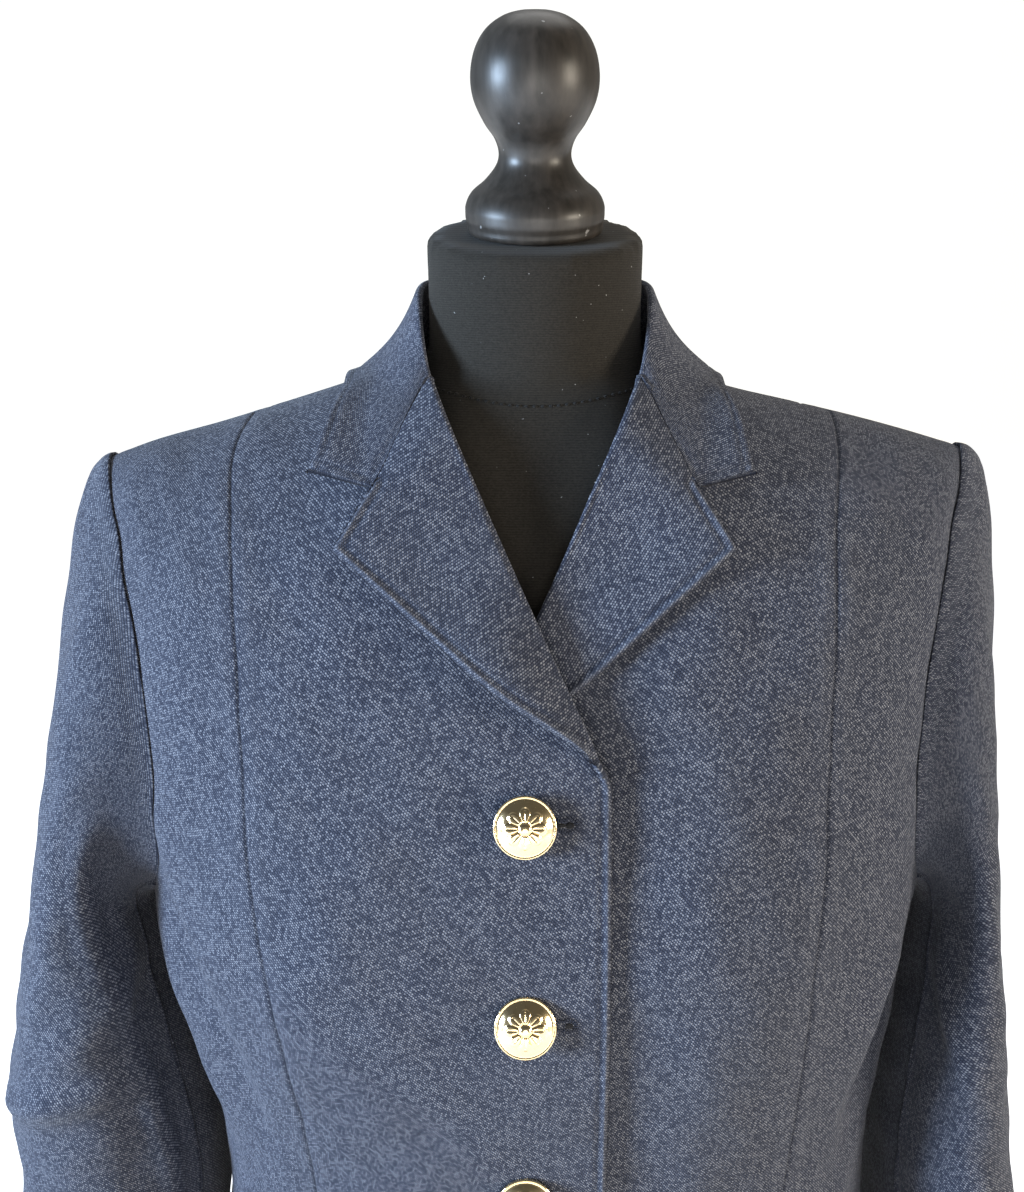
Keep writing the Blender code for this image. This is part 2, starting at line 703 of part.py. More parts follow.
def body_surface():
    """The outside of the body cloth as a tree of faces, to rest the collar on."""
    angles, falls = np.meshgrid(np.linspace(-180, 180, 181), np.linspace(0, 0.2, 61))
    points = torso(angles, falls)
    rows, columns = angles.shape
    corners = np.arange(rows * columns).reshape(rows, columns)
    faces = np.stack([corners[:-1, :-1], corners[1:, :-1], corners[1:, 1:], corners[:-1, 1:]], -1)
    return BVHTree.FromPolygons(points.reshape(-1, 3).tolist(), faces.reshape(-1, 4).tolist())


def rested(points, tree, lifts):
    """Points moved out where they lie less than their lift above the body."""
    for i, lift in enumerate(lifts):
        place, normal = tree.find_nearest(Vector(points[i]))[:2]
        if (Vector(points[i]) - place).dot(normal) < lift:
            points[i] = place + normal * lift
    return points


COLLAR_STATIONS = 28
STAND_END, FOLD_END, NOTCH = 0.26, 0.52, 0.80  # shares of the collar's section
FREE_FOLD = 0.41  # beyond this share of its section the collar rests on the shoulders
FRONT_END = 0.74  # beyond this station the collar runs into the lapel's plane


def collar_surface(tree):
    """Outside of the collar: u from the neck seam over the fold to the style edge, v its station."""
    mirrored = {
        key: np.concatenate([value[:0:-1] * (-1 if key in ("station", "roll_x", "edge_x") else 1), value])
        for key, value in COLLAR.items()
    }

    def at(prefix, v):
        return np.stack([smooth(mirrored, "station", prefix + axis, v) for axis in "xyz"], -1)

    def section(u, v):
        roll, edge = at("roll_", v), at("edge_", v)
        place = np.where((v < 0)[..., None], neckline(RIGHT, np.abs(v)), neckline(LEFT, np.abs(v)))
        seam = torso(place[..., 0], place[..., 1], np.full(v.shape, STAND_SEAM_LIFT))
        into = unit(unit(seam - roll) + unit(edge - roll))
        across = edge - seam
        across = unit(across - into * (across * into).sum(-1, keepdims=True))
        centre = roll + into * ROLL_RADIUS
        turn = (np.clip((u - STAND_END) / (FOLD_END - STAND_END), 0, 1) - 0.5)[..., None] * math.pi
        fold = centre + (across * np.sin(turn) - into * np.cos(turn)) * ROLL_RADIUS
        up = np.clip(1 - u / STAND_END, 0, 1)[..., None]
        down = np.clip((u - FOLD_END) / (1 - FOLD_END), 0, 1)[..., None]
        bow = across * COLLAR_BOW * np.sin(math.pi * down)
        return fold + (seam - fold) * up + (edge - fold) * down - bow

    def front_end(u, v, side):
        lapel_u = u / FOLD_END - 1
        to_notch = np.clip((u - FOLD_END) / (NOTCH - FOLD_END), 0, 1)
        on_gorge = lapel_surface(side)(np.where(u < FOLD_END, lapel_u, to_notch), np.zeros(u.shape))
        notch = np.array([LAPEL_EDGE["across"][0], LAPEL_EDGE["drop"][0]])
        share = np.clip((u - NOTCH) / (1 - NOTCH), 0, 1)[..., None]
        place = notch + (np.array(COLLAR_TIP) - notch) * share
        tip = on_front(place[..., 0], place[..., 1], side)
        on_notch = torso(tip[..., 0], tip[..., 1], np.full(u.shape, LAPEL_LIFT))
        return np.where((u < NOTCH)[..., None], on_gorge, on_notch)

    def surface(u, v):
        u, v = np.broadcast_arrays(u, v)
        points = section(u, v)
        end = np.where((v < 0)[..., None], front_end(u, v, RIGHT), front_end(u, v, LEFT))
        share = step_up(FRONT_END, 1.0, np.abs(v))
        points = points + (end - points) * share[..., None]
        lifts = COLLAR_LIFT + (LAPEL_LIFT - COLLAR_LIFT) * share
        fall = u > FREE_FOLD
        points[fall] = rested(points[fall], tree, lifts[fall])
        return points

    return surface


def collar(tree):
    stations = np.linspace(-1, 1, COLLAR_STATIONS + 1)
    section = np.concatenate([
        np.linspace(0, STAND_END, 3),
        np.linspace(STAND_END, FOLD_END, 5)[1:],
        np.linspace(FOLD_END, NOTCH, 4)[1:],
        np.linspace(NOTCH, 1, 3)[1:],
    ])
    surface = collar_surface(tree)
    grid = surface_wall(lambda v, u: surface(u, np.clip(v, -1, 1)), stations, section, COLLAR_CLOTH, 1)
    clear_edges(grid, GORGE_GAP, ("first", "last"))
    return moulded("collar", grid, "tunic_cloth")


def sleeve_ring(side, turn, drop):
    """Point on a sleeve below the armpit: turn 0 is its outer side, 0.25 its front, 0.5 next to the body."""
    inner, outer, front, back = (
        smooth(SLEEVES[side], "drop", key, drop) for key in ("inner", "outer", "front", "back")
    )
    wide = signed_power(np.cos(turn * math.tau), 2 / SLEEVE_ROUNDNESS)
    deep = signed_power(np.sin(turn * math.tau), 2 / SLEEVE_ROUNDNESS)
    x = side * ((outer + inner) / 2 + (outer - inner) / 2 * wide)
    y = (front + back) / 2 + (front - back) / 2 * deep
    return np.stack(np.broadcast_arrays(x, y, -drop), -1)


ARMPIT_RING_DROP = 0.215


def sleeve_surface(side):
    """Outside of a sleeve: u is the turn, v runs 0 to 1 down the cap and 1 to 2 down the tube."""

    def base(u, v):
        u, v = np.broadcast_arrays(u, v)
        turn = u % 1
        seam = armhole(side, turn)
        start = torso(seam[..., 0], seam[..., 1])
        off_body = torso_normal(seam[..., 0], seam[..., 1])
        along_arm = unit(np.stack([side * np.ones(u.shape), ARM_TURN * start[..., 1], 0 * u], -1))
        start = start + along_arm * CAP_GAP
        reach, rise, pull = (smooth(CAP, "turn", key, turn)[..., None] for key in ("reach", "rise", "pull"))
        ring = sleeve_ring(side, turn, np.full(u.shape, ARMPIT_RING_DROP))
        step = 0.01
        run = (sleeve_ring(side, turn, np.full(u.shape, ARMPIT_RING_DROP + step)) - ring) / step
        leave = start + along_arm * reach + off_body * rise * CAP_FULLNESS[side]
        arrive = ring - run * pull
        t = np.clip(v, 0, 1)[..., None]
        cap = start * (1 - t) ** 3 + 3 * leave * t * (1 - t) ** 2 + 3 * arrive * t**2 * (1 - t) + ring * t**3
        drop = ARMPIT_RING_DROP + (CUFF_DROP - ARMPIT_RING_DROP) * np.maximum(v - 1, 0)
        return np.where((v < 1)[..., None], cap, sleeve_ring(side, turn, drop))

    return base


def sleeve_walls(side):
    turns = np.arange(2 * ARMHOLE_ROWS + UNDER_SLEEVE[0] + 1) / (2 * ARMHOLE_ROWS)
    cap = np.linspace(0, 1, CAP_ROWS + 1) ** CAP_ROW_POWER
    rows = np.concatenate([cap, 1 + np.linspace(0, 1, TUBE_ROWS + 1)[1:]])
    base = sleeve_surface(side)
    walls = surface_wall(base, turns, rows, 1.0, side)
    outward = walls[:, :, 0] - walls[:, :, 1]
    keys = ("turn_a", "drop_a", "turn_b", "drop_b")
    fold = fold_height(SLEEVE_FOLDS[side], keys, turns[None], -walls[:, :, 0, 2], 1, SLEEVE_GIRTH)
    outer = walls[:, :, 0] + outward * (fold * step_up(0, 0.5, rows)[:, None])[..., None]
    return np.stack([outer, outer - outward * CLOTH], 2)


def sleeve(side):
    grid = sleeve_walls(side)
    first, last = UNDER_SLEEVE
    parts = {"top_sleeve": grid[:, last:], "under_sleeve": grid[:, first : last + 1]}
    for name, wall in parts.items():
        wall = clear_edges(wall.copy(), SLEEVE_SEAM_GAP / 2, ("first", "last"))
        moulded(side_name(name, side), wall, "tunic_cloth")


def turned(name, profile, steps, material, location, rotation=(0, 0, 0)):
    """A profile of radius and height, from its top to its bottom, turned round its own axis."""
    shape = bmesh.new()
    points = [shape.verts.new((r, 0, z)) for r, z in zip(profile["radius"], profile["height"])]
    for first, second in zip(points, points[1:]):
        shape.edges.new((first, second))
    mesh = bpy.data.meshes.new(name)
    shape.to_mesh(mesh)
    shape.free()
    piece = placed(name, mesh, material, location)
    piece.rotation_euler = rotation
    screw = piece.modifiers.new("turned", "SCREW")
    screw.steps = screw.render_steps = steps
    screw.use_merge_vertices = True
    screw.merge_threshold = 0.00005
    screw.use_smooth_shade = True
    return piece


def button(number, drop):
    place = on_front(BUTTON_ACROSS, drop, RIGHT)
    point, normal = torso(*place), torso_normal(*place)
    rotation = Vector(normal).to_track_quat("Z", "Y").to_euler()
    middle = SHOULDERS + Vector(point)
    turned(f"button_{number}", BUTTON_PROFILE, BUTTON_STEPS, "button_gilt", middle, rotation)


def form_body():
    shape = bmesh.new()
    bmesh.ops.create_grid(shape, x_segments=FORM_COLUMNS, y_segments=FORM_ROWS, size=1)
    for vertex in shape.verts:
        angle = vertex.co.x * 180
        share = (1 - vertex.co.y) / 2
        fall = fall_of(angle, FORM_DROP) * share**FORM_ROW_POWER
        front = 1 - step_up(*FORM_FRONT, abs(angle))
        inset = {key: smooth(FORM_INSET, "fall", key, fall) for key in ("front", "side")}
        lift = -(inset["side"] + (inset["front"] - inset["side"]) * front)
        point = torso_plain(angle, fall) + torso_normal(angle, fall) * lift
        point[0] = np.clip(point[0], -FORM_HALF, FORM_HALF)
        if share == 0:
            point[1] = 0
        vertex.co = point
    bmesh.ops.remove_doubles(shape, verts=shape.verts, dist=1e-6)
    bmesh.ops.holes_fill(shape, edges=[edge for edge in shape.edges if edge.is_boundary])
    body = finished("form_body", shape, "form_jersey")
    neck = turned("neck_shape", NECK_PROFILE, NECK_STEPS, "form_jersey", plate_centre(), (NECK_LEAN, 0, 0))
    bpy.data.collections["dress_tunic"].objects.unlink(neck)
    bpy.data.collections["joined_shapes"].objects.link(neck)
    neck.hide_render = True
    neck.display_type = "WIRE"
    union = body.modifiers.new("neck", "BOOLEAN")
    union.operation = "UNION"
    union.use_self = True
    union.object = neck
    return body


def plate_centre():
    return SHOULDERS + Vector((0, NECK_Y, NECK_PLATE))


def stand():
    turned("finial", FINIAL_PROFILE, FINIAL_STEPS, "stained_wood", plate_centre(), (NECK_LEAN, 0, 0))
    turned("foot", FOOT_PROFILE, FOOT_STEPS, "stained_wood", (SHOULDERS.x, 0, 0))
    low = FOOT_PROFILE["height"][0] + SEAM_GAP
    high = SHOULDERS.z - FORM_DROP - SEAM_GAP
    shape = bmesh.new()
    bmesh.ops.create_cone(
        shape, cap_ends=True, segments=24, radius1=POST_RADIUS, radius2=POST_RADIUS, depth=high - low
    )
    finished("post", shape, "stained_wood", (SHOULDERS.x, 0, (low + high) / 2))


def main():
    for old in list(bpy.data.objects):
        bpy.data.objects.remove(old)
    for name in ("dress_tunic", "joined_shapes"):
        bpy.context.scene.collection.children.link(bpy.data.collections.new(name))
    tree = body_surface()
    for side in (RIGHT, LEFT):
        body_panels(side)
        lapel(side)
        sleeve(side)
    collar(tree)
    for number, drop in enumerate(BUTTON_DROPS, 1):
        button(number, drop)
    form_body()
    stand()


main()
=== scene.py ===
import math
import random

import bmesh
import bpy
import numpy as np
from mathutils import Matrix, Vector
from mathutils.bvhtree import BVHTree


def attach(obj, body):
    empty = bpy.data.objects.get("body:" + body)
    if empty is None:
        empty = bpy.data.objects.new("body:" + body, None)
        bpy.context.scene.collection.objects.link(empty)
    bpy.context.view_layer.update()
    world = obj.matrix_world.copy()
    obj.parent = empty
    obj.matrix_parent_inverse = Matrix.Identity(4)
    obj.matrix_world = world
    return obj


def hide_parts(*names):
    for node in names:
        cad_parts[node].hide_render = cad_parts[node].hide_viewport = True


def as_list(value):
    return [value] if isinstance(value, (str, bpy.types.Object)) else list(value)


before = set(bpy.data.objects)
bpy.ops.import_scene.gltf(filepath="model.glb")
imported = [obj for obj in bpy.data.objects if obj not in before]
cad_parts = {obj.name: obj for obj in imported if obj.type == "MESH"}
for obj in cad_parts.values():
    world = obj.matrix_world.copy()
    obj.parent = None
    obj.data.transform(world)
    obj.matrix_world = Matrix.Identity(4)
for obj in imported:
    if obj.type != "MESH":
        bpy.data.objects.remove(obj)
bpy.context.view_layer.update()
random.seed(7)

# Heights start at the shoulder tips: "drop" runs straight down from them, "fall" down along the cloth.
shoulders = Vector((0.009, 0, 0.770))
hemDrop = 0.600
right, left = -1, 1

wool = {
    "panel": 0.0018,  # thickness of the body and sleeve cloth
    "folded": 0.0012,  # thickness of one layer of lapel or collar
    "lapelLift": 0.0031,
    "rollRadius": 0.0020,
    "seamGap": 0.0003,
    "openGap": -0.00015,  # sewn edges close over each other at the bottom of their groove
    "seamDepth": 0.0006,  # how far sewn edges dip
    "seamWidth": 0.0009,
    "seamPress": 0.00020,  # soft ridge of the allowance pressed open under the cloth
    "pressAt": 0.006,
    "pressWidth": 0.0035,
    "edgeRadius": 0.0015,  # rounding of a free edge
    "edgeRidge": 0.00070,  # the ridge and the groove of the seam inside it
    "ridgeAt": 0.0020,
    "edgeGroove": 0.00040,
    "grooveAt": 0.0046,
    "edgeWidth": 0.0010,
    "gorgeDepth": 0.00045,
    "gorgeWidth": 0.0006,
    "ripple": 0.00016,
}


def table(columns, *rows):
    return dict(zip(columns.split(), np.array(rows, float).T))


def smooth(rows, key, column, at):  # a soft curve through a column of a table
    known, value = rows[key], rows[column]
    slope = np.gradient(value, known)
    at = np.clip(np.asarray(at, float), known[0], known[-1])
    row = np.clip(np.searchsorted(known, at, side="right") - 1, 0, len(known) - 2)
    step = known[row + 1] - known[row]
    share = (at - known[row]) / step
    square, cube = share**2, share**3
    return (
        (2 * cube - 3 * square + 1) * value[row]
        + (cube - 2 * square + share) * step * slope[row]
        + (3 * square - 2 * cube) * value[row + 1]
        + (cube - square) * step * slope[row + 1]
    )


def stepUp(low, high, at):
    share = np.clip((at - low) / (high - low), 0, 1)
    return share**2 * (3 - 2 * share)


def bell(at, middle, width):
    return np.exp(-(((at - middle) / width) ** 2))


def signedPower(value, power):
    return np.sign(value) * np.abs(value) ** power


def unit(vectors):
    return vectors / np.maximum(np.linalg.norm(vectors, axis=-1, keepdims=True), 1e-12)


# Folds run from one place to another, given as degrees round the body or as turns round a sleeve.
foldColumns = "topAt topDrop lowAt lowDrop width height"
foldLook = {"waver": 0.10, "wavers": 7, "shift": 1.7, "fade": 0.42}


def foldHeight(folds, place, drop, around, girth):  # soft ridges and troughs between two places
    total = np.zeros(np.broadcast(place, drop).shape)
    scale = girth / around
    for i, width in enumerate(folds["width"]):
        topAt, topDrop, lowAt, lowDrop = (folds[key][i] for key in foldColumns.split()[:4])
        run = np.array([(lowAt - topAt) * scale, lowDrop - topDrop])
        x = ((place - topAt + around / 2) % around - around / 2) * scale
        y = drop - topDrop
        share = (x * run[0] + y * run[1]) / (run @ run)
        off = (x * run[1] - y * run[0]) / np.linalg.norm(run)
        bend = foldLook["waver"] * width * np.sin(foldLook["wavers"] * share + foldLook["shift"] * i)
        fade = np.exp(-(((share - 0.5) / foldLook["fade"]) ** 4))
        total = total + folds["height"][i] * fade * bell(off + bend, 0, width)
    return total


rippleLook = {"waves": 9, "lengths": (0.022, 0.085), "bend": 2.2, "bends": 9}
rippleWaves = [
    (random.uniform(0, math.tau), random.uniform(*rippleLook["lengths"]), random.uniform(0, math.tau))
    for wave in range(rippleLook["waves"])
]


def ripple(x, y):  # the slight unevenness of pressed wool
    total = np.zeros(np.broadcast(x, y).shape)
    for heading, length, phase in rippleWaves:
        along = x * math.cos(heading) + y * math.sin(heading)
        bend = rippleLook["bend"] * np.sin(along * rippleLook["bends"] + phase)
        total = total + np.sin(along * math.tau / length + phase + bend)
    return total


# Body of the tunic: half widths and depths of the cloth at each drop, and the ridge of the shoulders.
referenceHalf = 0.206
roundness = 2.35
bodyRows = table(
    "drop halfRight halfLeft front back",
    (-0.08, 0.206, 0.206, 0.040, 0.060),
    (-0.04, 0.206, 0.206, 0.056, 0.077),
    (0.00, 0.206, 0.206, 0.082, 0.092),
    (0.04, 0.201, 0.201, 0.104, 0.108),
    (0.08, 0.197, 0.197, 0.121, 0.117),
    (0.12, 0.193, 0.193, 0.132, 0.121),
    (0.16, 0.190, 0.190, 0.139, 0.119),
    (0.20, 0.1875, 0.1875, 0.142, 0.114),
    (0.24, 0.181, 0.184, 0.140, 0.106),
    (0.28, 0.171, 0.179, 0.134, 0.097),
    (0.32, 0.163, 0.174, 0.127, 0.090),
    (0.36, 0.160, 0.172, 0.123, 0.087),
    (0.41, 0.165, 0.174, 0.124, 0.093),
    (0.46, 0.178, 0.182, 0.129, 0.107),
    (0.52, 0.193, 0.194, 0.134, 0.121),
    (0.60, 0.206, 0.206, 0.138, 0.130),
)
ridgeRows = table(
    "across right left radius",
    (0.000, 0.0740, 0.0740, 0.050),
    (0.043, 0.0560, 0.0555, 0.050),
    (0.055, 0.0480, 0.0475, 0.054),
    (0.072, 0.0395, 0.0380, 0.060),
    (0.090, 0.0336, 0.0324, 0.070),
    (0.118, 0.0248, 0.0259, 0.075),
    (0.147, 0.0160, 0.0192, 0.072),
    (0.182, 0.0063, 0.0098, 0.064),
    (0.203, -0.0012, 0.0034, 0.056),
    (0.206, -0.0022, 0.0024, 0.055),
)
bodyGirth = 0.97
bust = {"height": 0.008, "across": 0.095, "drop": 0.20, "wide": 0.05, "tall": 0.07}
mainFolds = table(
    foldColumns,
    (-66, 0.165, -40, 0.300, 0.014, -0.0045),
    (-72, 0.200, -52, 0.330, 0.013, 0.0035),
    (70, 0.200, 56, 0.330, 0.020, -0.0080),
    (58, 0.190, 44, 0.285, 0.018, 0.0050),
    (128, 0.210, 150, 0.330, 0.016, -0.0045),
    (-126, 0.220, -148, 0.330, 0.015, -0.0040),
    (-112, 0.400, -100, 0.520, 0.016, 0.0035),
    (104, 0.410, 112, 0.540, 0.016, 0.0030),
)
fineFolds = table(
    foldColumns,
    (-61, 0.180, -46, 0.260, 0.006, -0.0010),
    (-46, 0.235, -36, 0.345, 0.009, 0.0011),
    (-38, 0.290, -33, 0.360, 0.007, -0.0009),
    (-57, 0.300, -45, 0.375, 0.008, -0.0012),
    (-28, 0.345, -12, 0.330, 0.010, -0.0007),
    (66, 0.185, 50, 0.235, 0.007, 0.0010),
    (47, 0.250, 40, 0.345, 0.009, -0.0011),
    (62, 0.330, 48, 0.372, 0.008, 0.0013),
    (22, 0.350, 38, 0.362, 0.009, -0.0008),
    (30, 0.020, 20, 0.090, 0.012, -0.0006),
    (-30, 0.020, -22, 0.100, 0.012, -0.0006),
    (-70, 0.010, -52, 0.070, 0.012, -0.0009),
    (72, 0.008, 56, 0.060, 0.013, -0.0008),
    (172, 0.040, 178, 0.180, 0.014, -0.0008),
    (-165, 0.050, -172, 0.200, 0.014, -0.0007),
    (120, 0.150, 140, 0.250, 0.010, 0.0012),
    (-118, 0.160, -138, 0.255, 0.010, 0.0011),
    (160, 0.330, 176, 0.345, 0.010, -0.0014),
    (-158, 0.352, -176, 0.338, 0.009, -0.0012),
    (150, 0.365, 168, 0.385, 0.010, 0.0010),
    (-150, 0.372, -170, 0.372, 0.010, 0.0009),
    (96, 0.300, 108, 0.372, 0.009, -0.0015),
    (-94, 0.290, -108, 0.366, 0.009, -0.0014),
    (82, 0.440, 78, 0.590, 0.013, 0.0014),
    (-80, 0.450, -86, 0.590, 0.013, 0.0013),
    (-20, 0.440, -24, 0.590, 0.014, -0.0010),
    (26, 0.450, 30, 0.590, 0.015, 0.0012),
    (150, 0.450, 146, 0.590, 0.014, 0.0015),
    (-148, 0.460, -152, 0.590, 0.014, 0.0013),
)


def ridgeOf(angle):
    sine = np.sin(np.radians(angle))
    across = referenceHalf * np.abs(sine) ** (2 / roundness)
    onRight, onLeft, radius = (
        smooth(ridgeRows, "across", key, across) for key in ("right", "left", "radius")
    )
    return np.where(sine < 0, onRight, onLeft), radius


def dropOf(angle, fall):
    height, radius = ridgeOf(angle)
    turn = np.minimum(fall / radius, math.pi / 2)
    return radius * (1 - np.cos(turn)) + np.maximum(fall - radius * math.pi / 2, 0) - height


def fallOf(angle, drop):
    height, radius = ridgeOf(angle)
    depth = np.maximum(drop + height, 0)
    turned = radius * np.arccos(np.clip(1 - depth / radius, -1, 1))
    return np.where(depth < radius, turned, depth + radius * (math.pi / 2 - 1))


def halfWidth(sign, drop):
    onRight, onLeft = (smooth(bodyRows, "drop", key, drop) for key in ("halfRight", "halfLeft"))
    return np.where(sign < 0, onRight, onLeft)


def angleOf(across, drop, side):
    half = halfWidth(side * np.sign(across), drop)
    return side * np.sign(across) * np.degrees(np.arcsin((np.abs(across) / half) ** (roundness / 2)))


def torsoPlain(angle, fall):
    angle, fall = np.broadcast_arrays(np.asarray(angle, float), np.asarray(fall, float))
    sine = signedPower(np.sin(np.radians(angle)), 2 / roundness)
    cosine = signedPower(np.cos(np.radians(angle)), 2 / roundness)
    drop = dropOf(angle, fall)
    outward = np.sin(np.minimum(fall / ridgeOf(angle)[1], math.pi / 2))
    x = halfWidth(sine, drop) * sine
    swell = bust["height"] * bell(np.abs(x), bust["across"], bust["wide"])
    swell = swell * bell(drop, bust["drop"], bust["tall"])
    front = -(smooth(bodyRows, "drop", "front", drop) * cosine + swell)
    back = -smooth(bodyRows, "drop", "back", drop) * cosine
    return np.stack([x, np.where(cosine > 0, front, back) * outward, -drop], -1)


def torsoNormal(angle, fall):
    turn, down = 0.2, 0.0005  # degrees and metres on each side over which the slope is taken
    fall = np.maximum(np.asarray(fall, float), down)
    along = torsoPlain(angle, fall + down) - torsoPlain(angle, fall - down)
    around = torsoPlain(angle + turn, fall) - torsoPlain(angle - turn, fall)
    return unit(np.cross(along, around))


def torso(angle, fall, lift=0.0):
    drop = dropOf(angle, fall)
    fold = foldHeight(mainFolds, angle, drop, 360, bodyGirth)
    fold = fold + foldHeight(fineFolds, angle, drop, 360, bodyGirth)
    fold = fold + wool["ripple"] * ripple(angle * bodyGirth / 360, drop) * stepUp(0.005, 0.04, fall)
    return torsoPlain(angle, fall) + torsoNormal(angle, fall) * (lift + fold)[..., None]


overlap = {
    "sink": 0.0042,  # how far the left front lies under the right one
    "edges": (0.036, 0.078),
    "starts": (-0.010, 0.030),
    "lapelSink": 0.0036,  # and further under both lapels
    "lapelEdges": (0.018, 0.058),
    "lapelStarts": (0.000, 0.036),
    "lapelEnds": (0.120, 0.160),
}


def sinkOfLeftFront(angle, fall):
    drop = dropOf(angle, fall)
    across = torsoPlain(angle, fall)[..., 0]
    under = overlap["sink"] * (1 - stepUp(*overlap["edges"], across)) * stepUp(*overlap["starts"], drop)
    deep = overlap["lapelSink"] * (1 - stepUp(*overlap["lapelEdges"], across))
    deep = deep * stepUp(*overlap["lapelStarts"], drop) * (1 - stepUp(*overlap["lapelEnds"], drop))
    return (under + deep) * (np.abs(angle) < 90)


def liftOf(side, angle, fall):
    return -sinkOfLeftFront(angle, fall) if side == left else np.zeros(np.shape(angle))


# Seam lines: each one runs from the top to the hem in the same number of rows.
princessRows = table(
    "drop right left back",
    (-0.025, 35.5, 38.7, 146),
    (-0.010, 37.0, 37.8, 146),
    (0.018, 36.1, 35.8, 147),
    (0.075, 35.3, 35.6, 149),
    (0.163, 34.8, 35.8, 151),
    (0.205, 33.4, 35.1, 151),
    (0.254, 32.6, 36.0, 151),
    (0.300, 33.6, 37.2, 151),
    (0.360, 35.0, 38.0, 151),
    (0.600, 37.0, 38.0, 147),
)
armholeRows = table(
    "turn angle drop",
    (0.00, 77, 0.000),
    (0.10, 66.3, 0.033),
    (0.19, 61.2, 0.073),
    (0.26, 60.0, 0.110),
    (0.33, 61.5, 0.147),
    (0.39, 66.0, 0.176),
    (0.45, 77.0, 0.197),
    (0.50, 90, 0.205),
    (0.55, 103, 0.198),
    (0.61, 113.0, 0.179),
    (0.68, 118.5, 0.147),
    (0.76, 119.5, 0.104),
    (0.85, 115.5, 0.058),
    (0.93, 109.0, 0.022),
    (1.00, 103, 0.000),
)
cut = {
    "finer": 7,  # rows of the shown cloth for each row of the solids
    "underarm": 0.205,
    "princessUnderarm": 0.215,
    "neckPoint": 0.073,
    "frontEdge": -0.031,
    "backNeck": -0.052,
    "neckStation": 0.58,  # collar station of the neck point
    "tipTurn": 0.06,
}
upperRows, lowerRows = 12 * cut["finer"], 10 * cut["finer"]
allRows = upperRows + lowerRows
neckRows, rollRows, backNeckRows = 3 * cut["finer"], 7 * cut["finer"], 5 * cut["finer"]
rollTop, breakPoint = np.array((0.0441, -0.0386)), np.array((-0.0292, 0.1105))
lapelEdge = table(
    "share across drop",
    (0.00, 0.0668, 0.0035),
    (0.15, 0.0820, 0.0280),
    (0.22, 0.0735, 0.0345),
    (0.42, 0.0535, 0.0500),
    (0.58, 0.0362, 0.0640),
    (0.72, 0.0205, 0.0765),
    (0.82, 0.0075, 0.0853),
    (0.90, -0.0065, 0.0935),
    (0.96, -0.0190, 0.1015),
    (1.00, -0.0278, 0.1100),
)


def rowsToHem(upper, sideAngle, startDrop):
    drops = startDrop + (hemDrop - startDrop) * np.linspace(0, 1, lowerRows + 1)[1:]
    angles = sideAngle(drops)
    return np.concatenate([upper, np.stack([angles, fallOf(angles, drops)], -1)])


def princessLine(side, back):
    column = "back" if back else {right: "right", left: "left"}[side]

    def angleAt(drop):
        return side * smooth(princessRows, "drop", column, drop)

    top = angleAt(princessRows["drop"][0])
    falls = np.linspace(0, 1, upperRows + 1) * fallOf(top, cut["princessUnderarm"])
    upper = np.stack([angleAt(dropOf(top, falls)), falls], -1)
    return rowsToHem(upper, angleAt, cut["princessUnderarm"])


def armhole(side, turn):
    angle = smooth(armholeRows, "turn", "angle", turn)
    fall = fallOf(angle, smooth(armholeRows, "turn", "drop", turn))
    fall = fall * stepUp(0, cut["tipTurn"], np.minimum(turn, 1 - turn)) ** 0.5
    return np.stack([side * angle, fall], -1)


def sideLine(side, back):
    turns = np.linspace(0, 0.5, upperRows + 1)
    upper = armhole(side, 1 - turns if back else turns)
    return rowsToHem(upper, lambda drop: side * np.full(np.shape(drop), 90.0), cut["underarm"])


def onFront(across, drop, side):
    angle = angleOf(across, drop, side)
    return np.stack([angle, fallOf(angle, drop)], -1)


def rollLine(share, off=0.0):
    away = unit(np.array([breakPoint[1] - rollTop[1], rollTop[0] - breakPoint[0]]))
    share = np.asarray(share, float)[..., None]
    return rollTop + (breakPoint - rollTop) * share + away * np.asarray(off, float)[..., None]


def neckline(side, station):  # from the centre back (0) to the top of the roll line (1)
    station = np.asarray(station, float)
    middle = cut["neckStation"]
    point = np.degrees(np.arcsin((cut["neckPoint"] / referenceHalf) ** (roundness / 2)))
    backTurn = np.clip(station / middle, 0, 1) * math.pi / 2
    backAngle = 180 - point * np.sin(backTurn)
    backFall = fallOf(180.0, cut["backNeck"]) * np.cos(backTurn)
    gorge = onFront(*rollLine(0.0, wool["rollRadius"] + wool["seamGap"]), left)
    share = np.clip((station - middle) / (1 - middle), 0, 1)
    angle = np.where(station > middle, point + (gorge[0] - point) * share, backAngle)
    fall = np.where(station > middle, gorge[1] * share, backFall)
    return np.stack([side * angle, fall], -1)


def frontLine(side):
    stations = np.linspace(cut["neckStation"] + 1e-6, 1, neckRows + 1)[:-1]
    shares = np.linspace(0, 1, rollRows + 1)
    off = (wool["rollRadius"] + wool["seamGap"]) * (1 - stepUp(0.85, 1.0, shares))
    roll = rollLine(shares, off)
    drops = np.linspace(breakPoint[1], hemDrop, allRows - neckRows - rollRows + 1)[1:]
    edge = onFront(np.full(drops.shape, cut["frontEdge"]), drops, side)
    return np.concatenate([neckline(side, stations), onFront(roll[:, 0], roll[:, 1], side), edge])


def backLine(side):
    stations = np.linspace(cut["neckStation"], 0, backNeckRows + 1)
    drops = np.linspace(cut["backNeck"], hemDrop, allRows - backNeckRows + 1)[1:]
    angles = np.full(drops.shape, side * 180.0)
    return np.concatenate([neckline(side, stations), np.stack([angles, fallOf(angles, drops)], -1)])


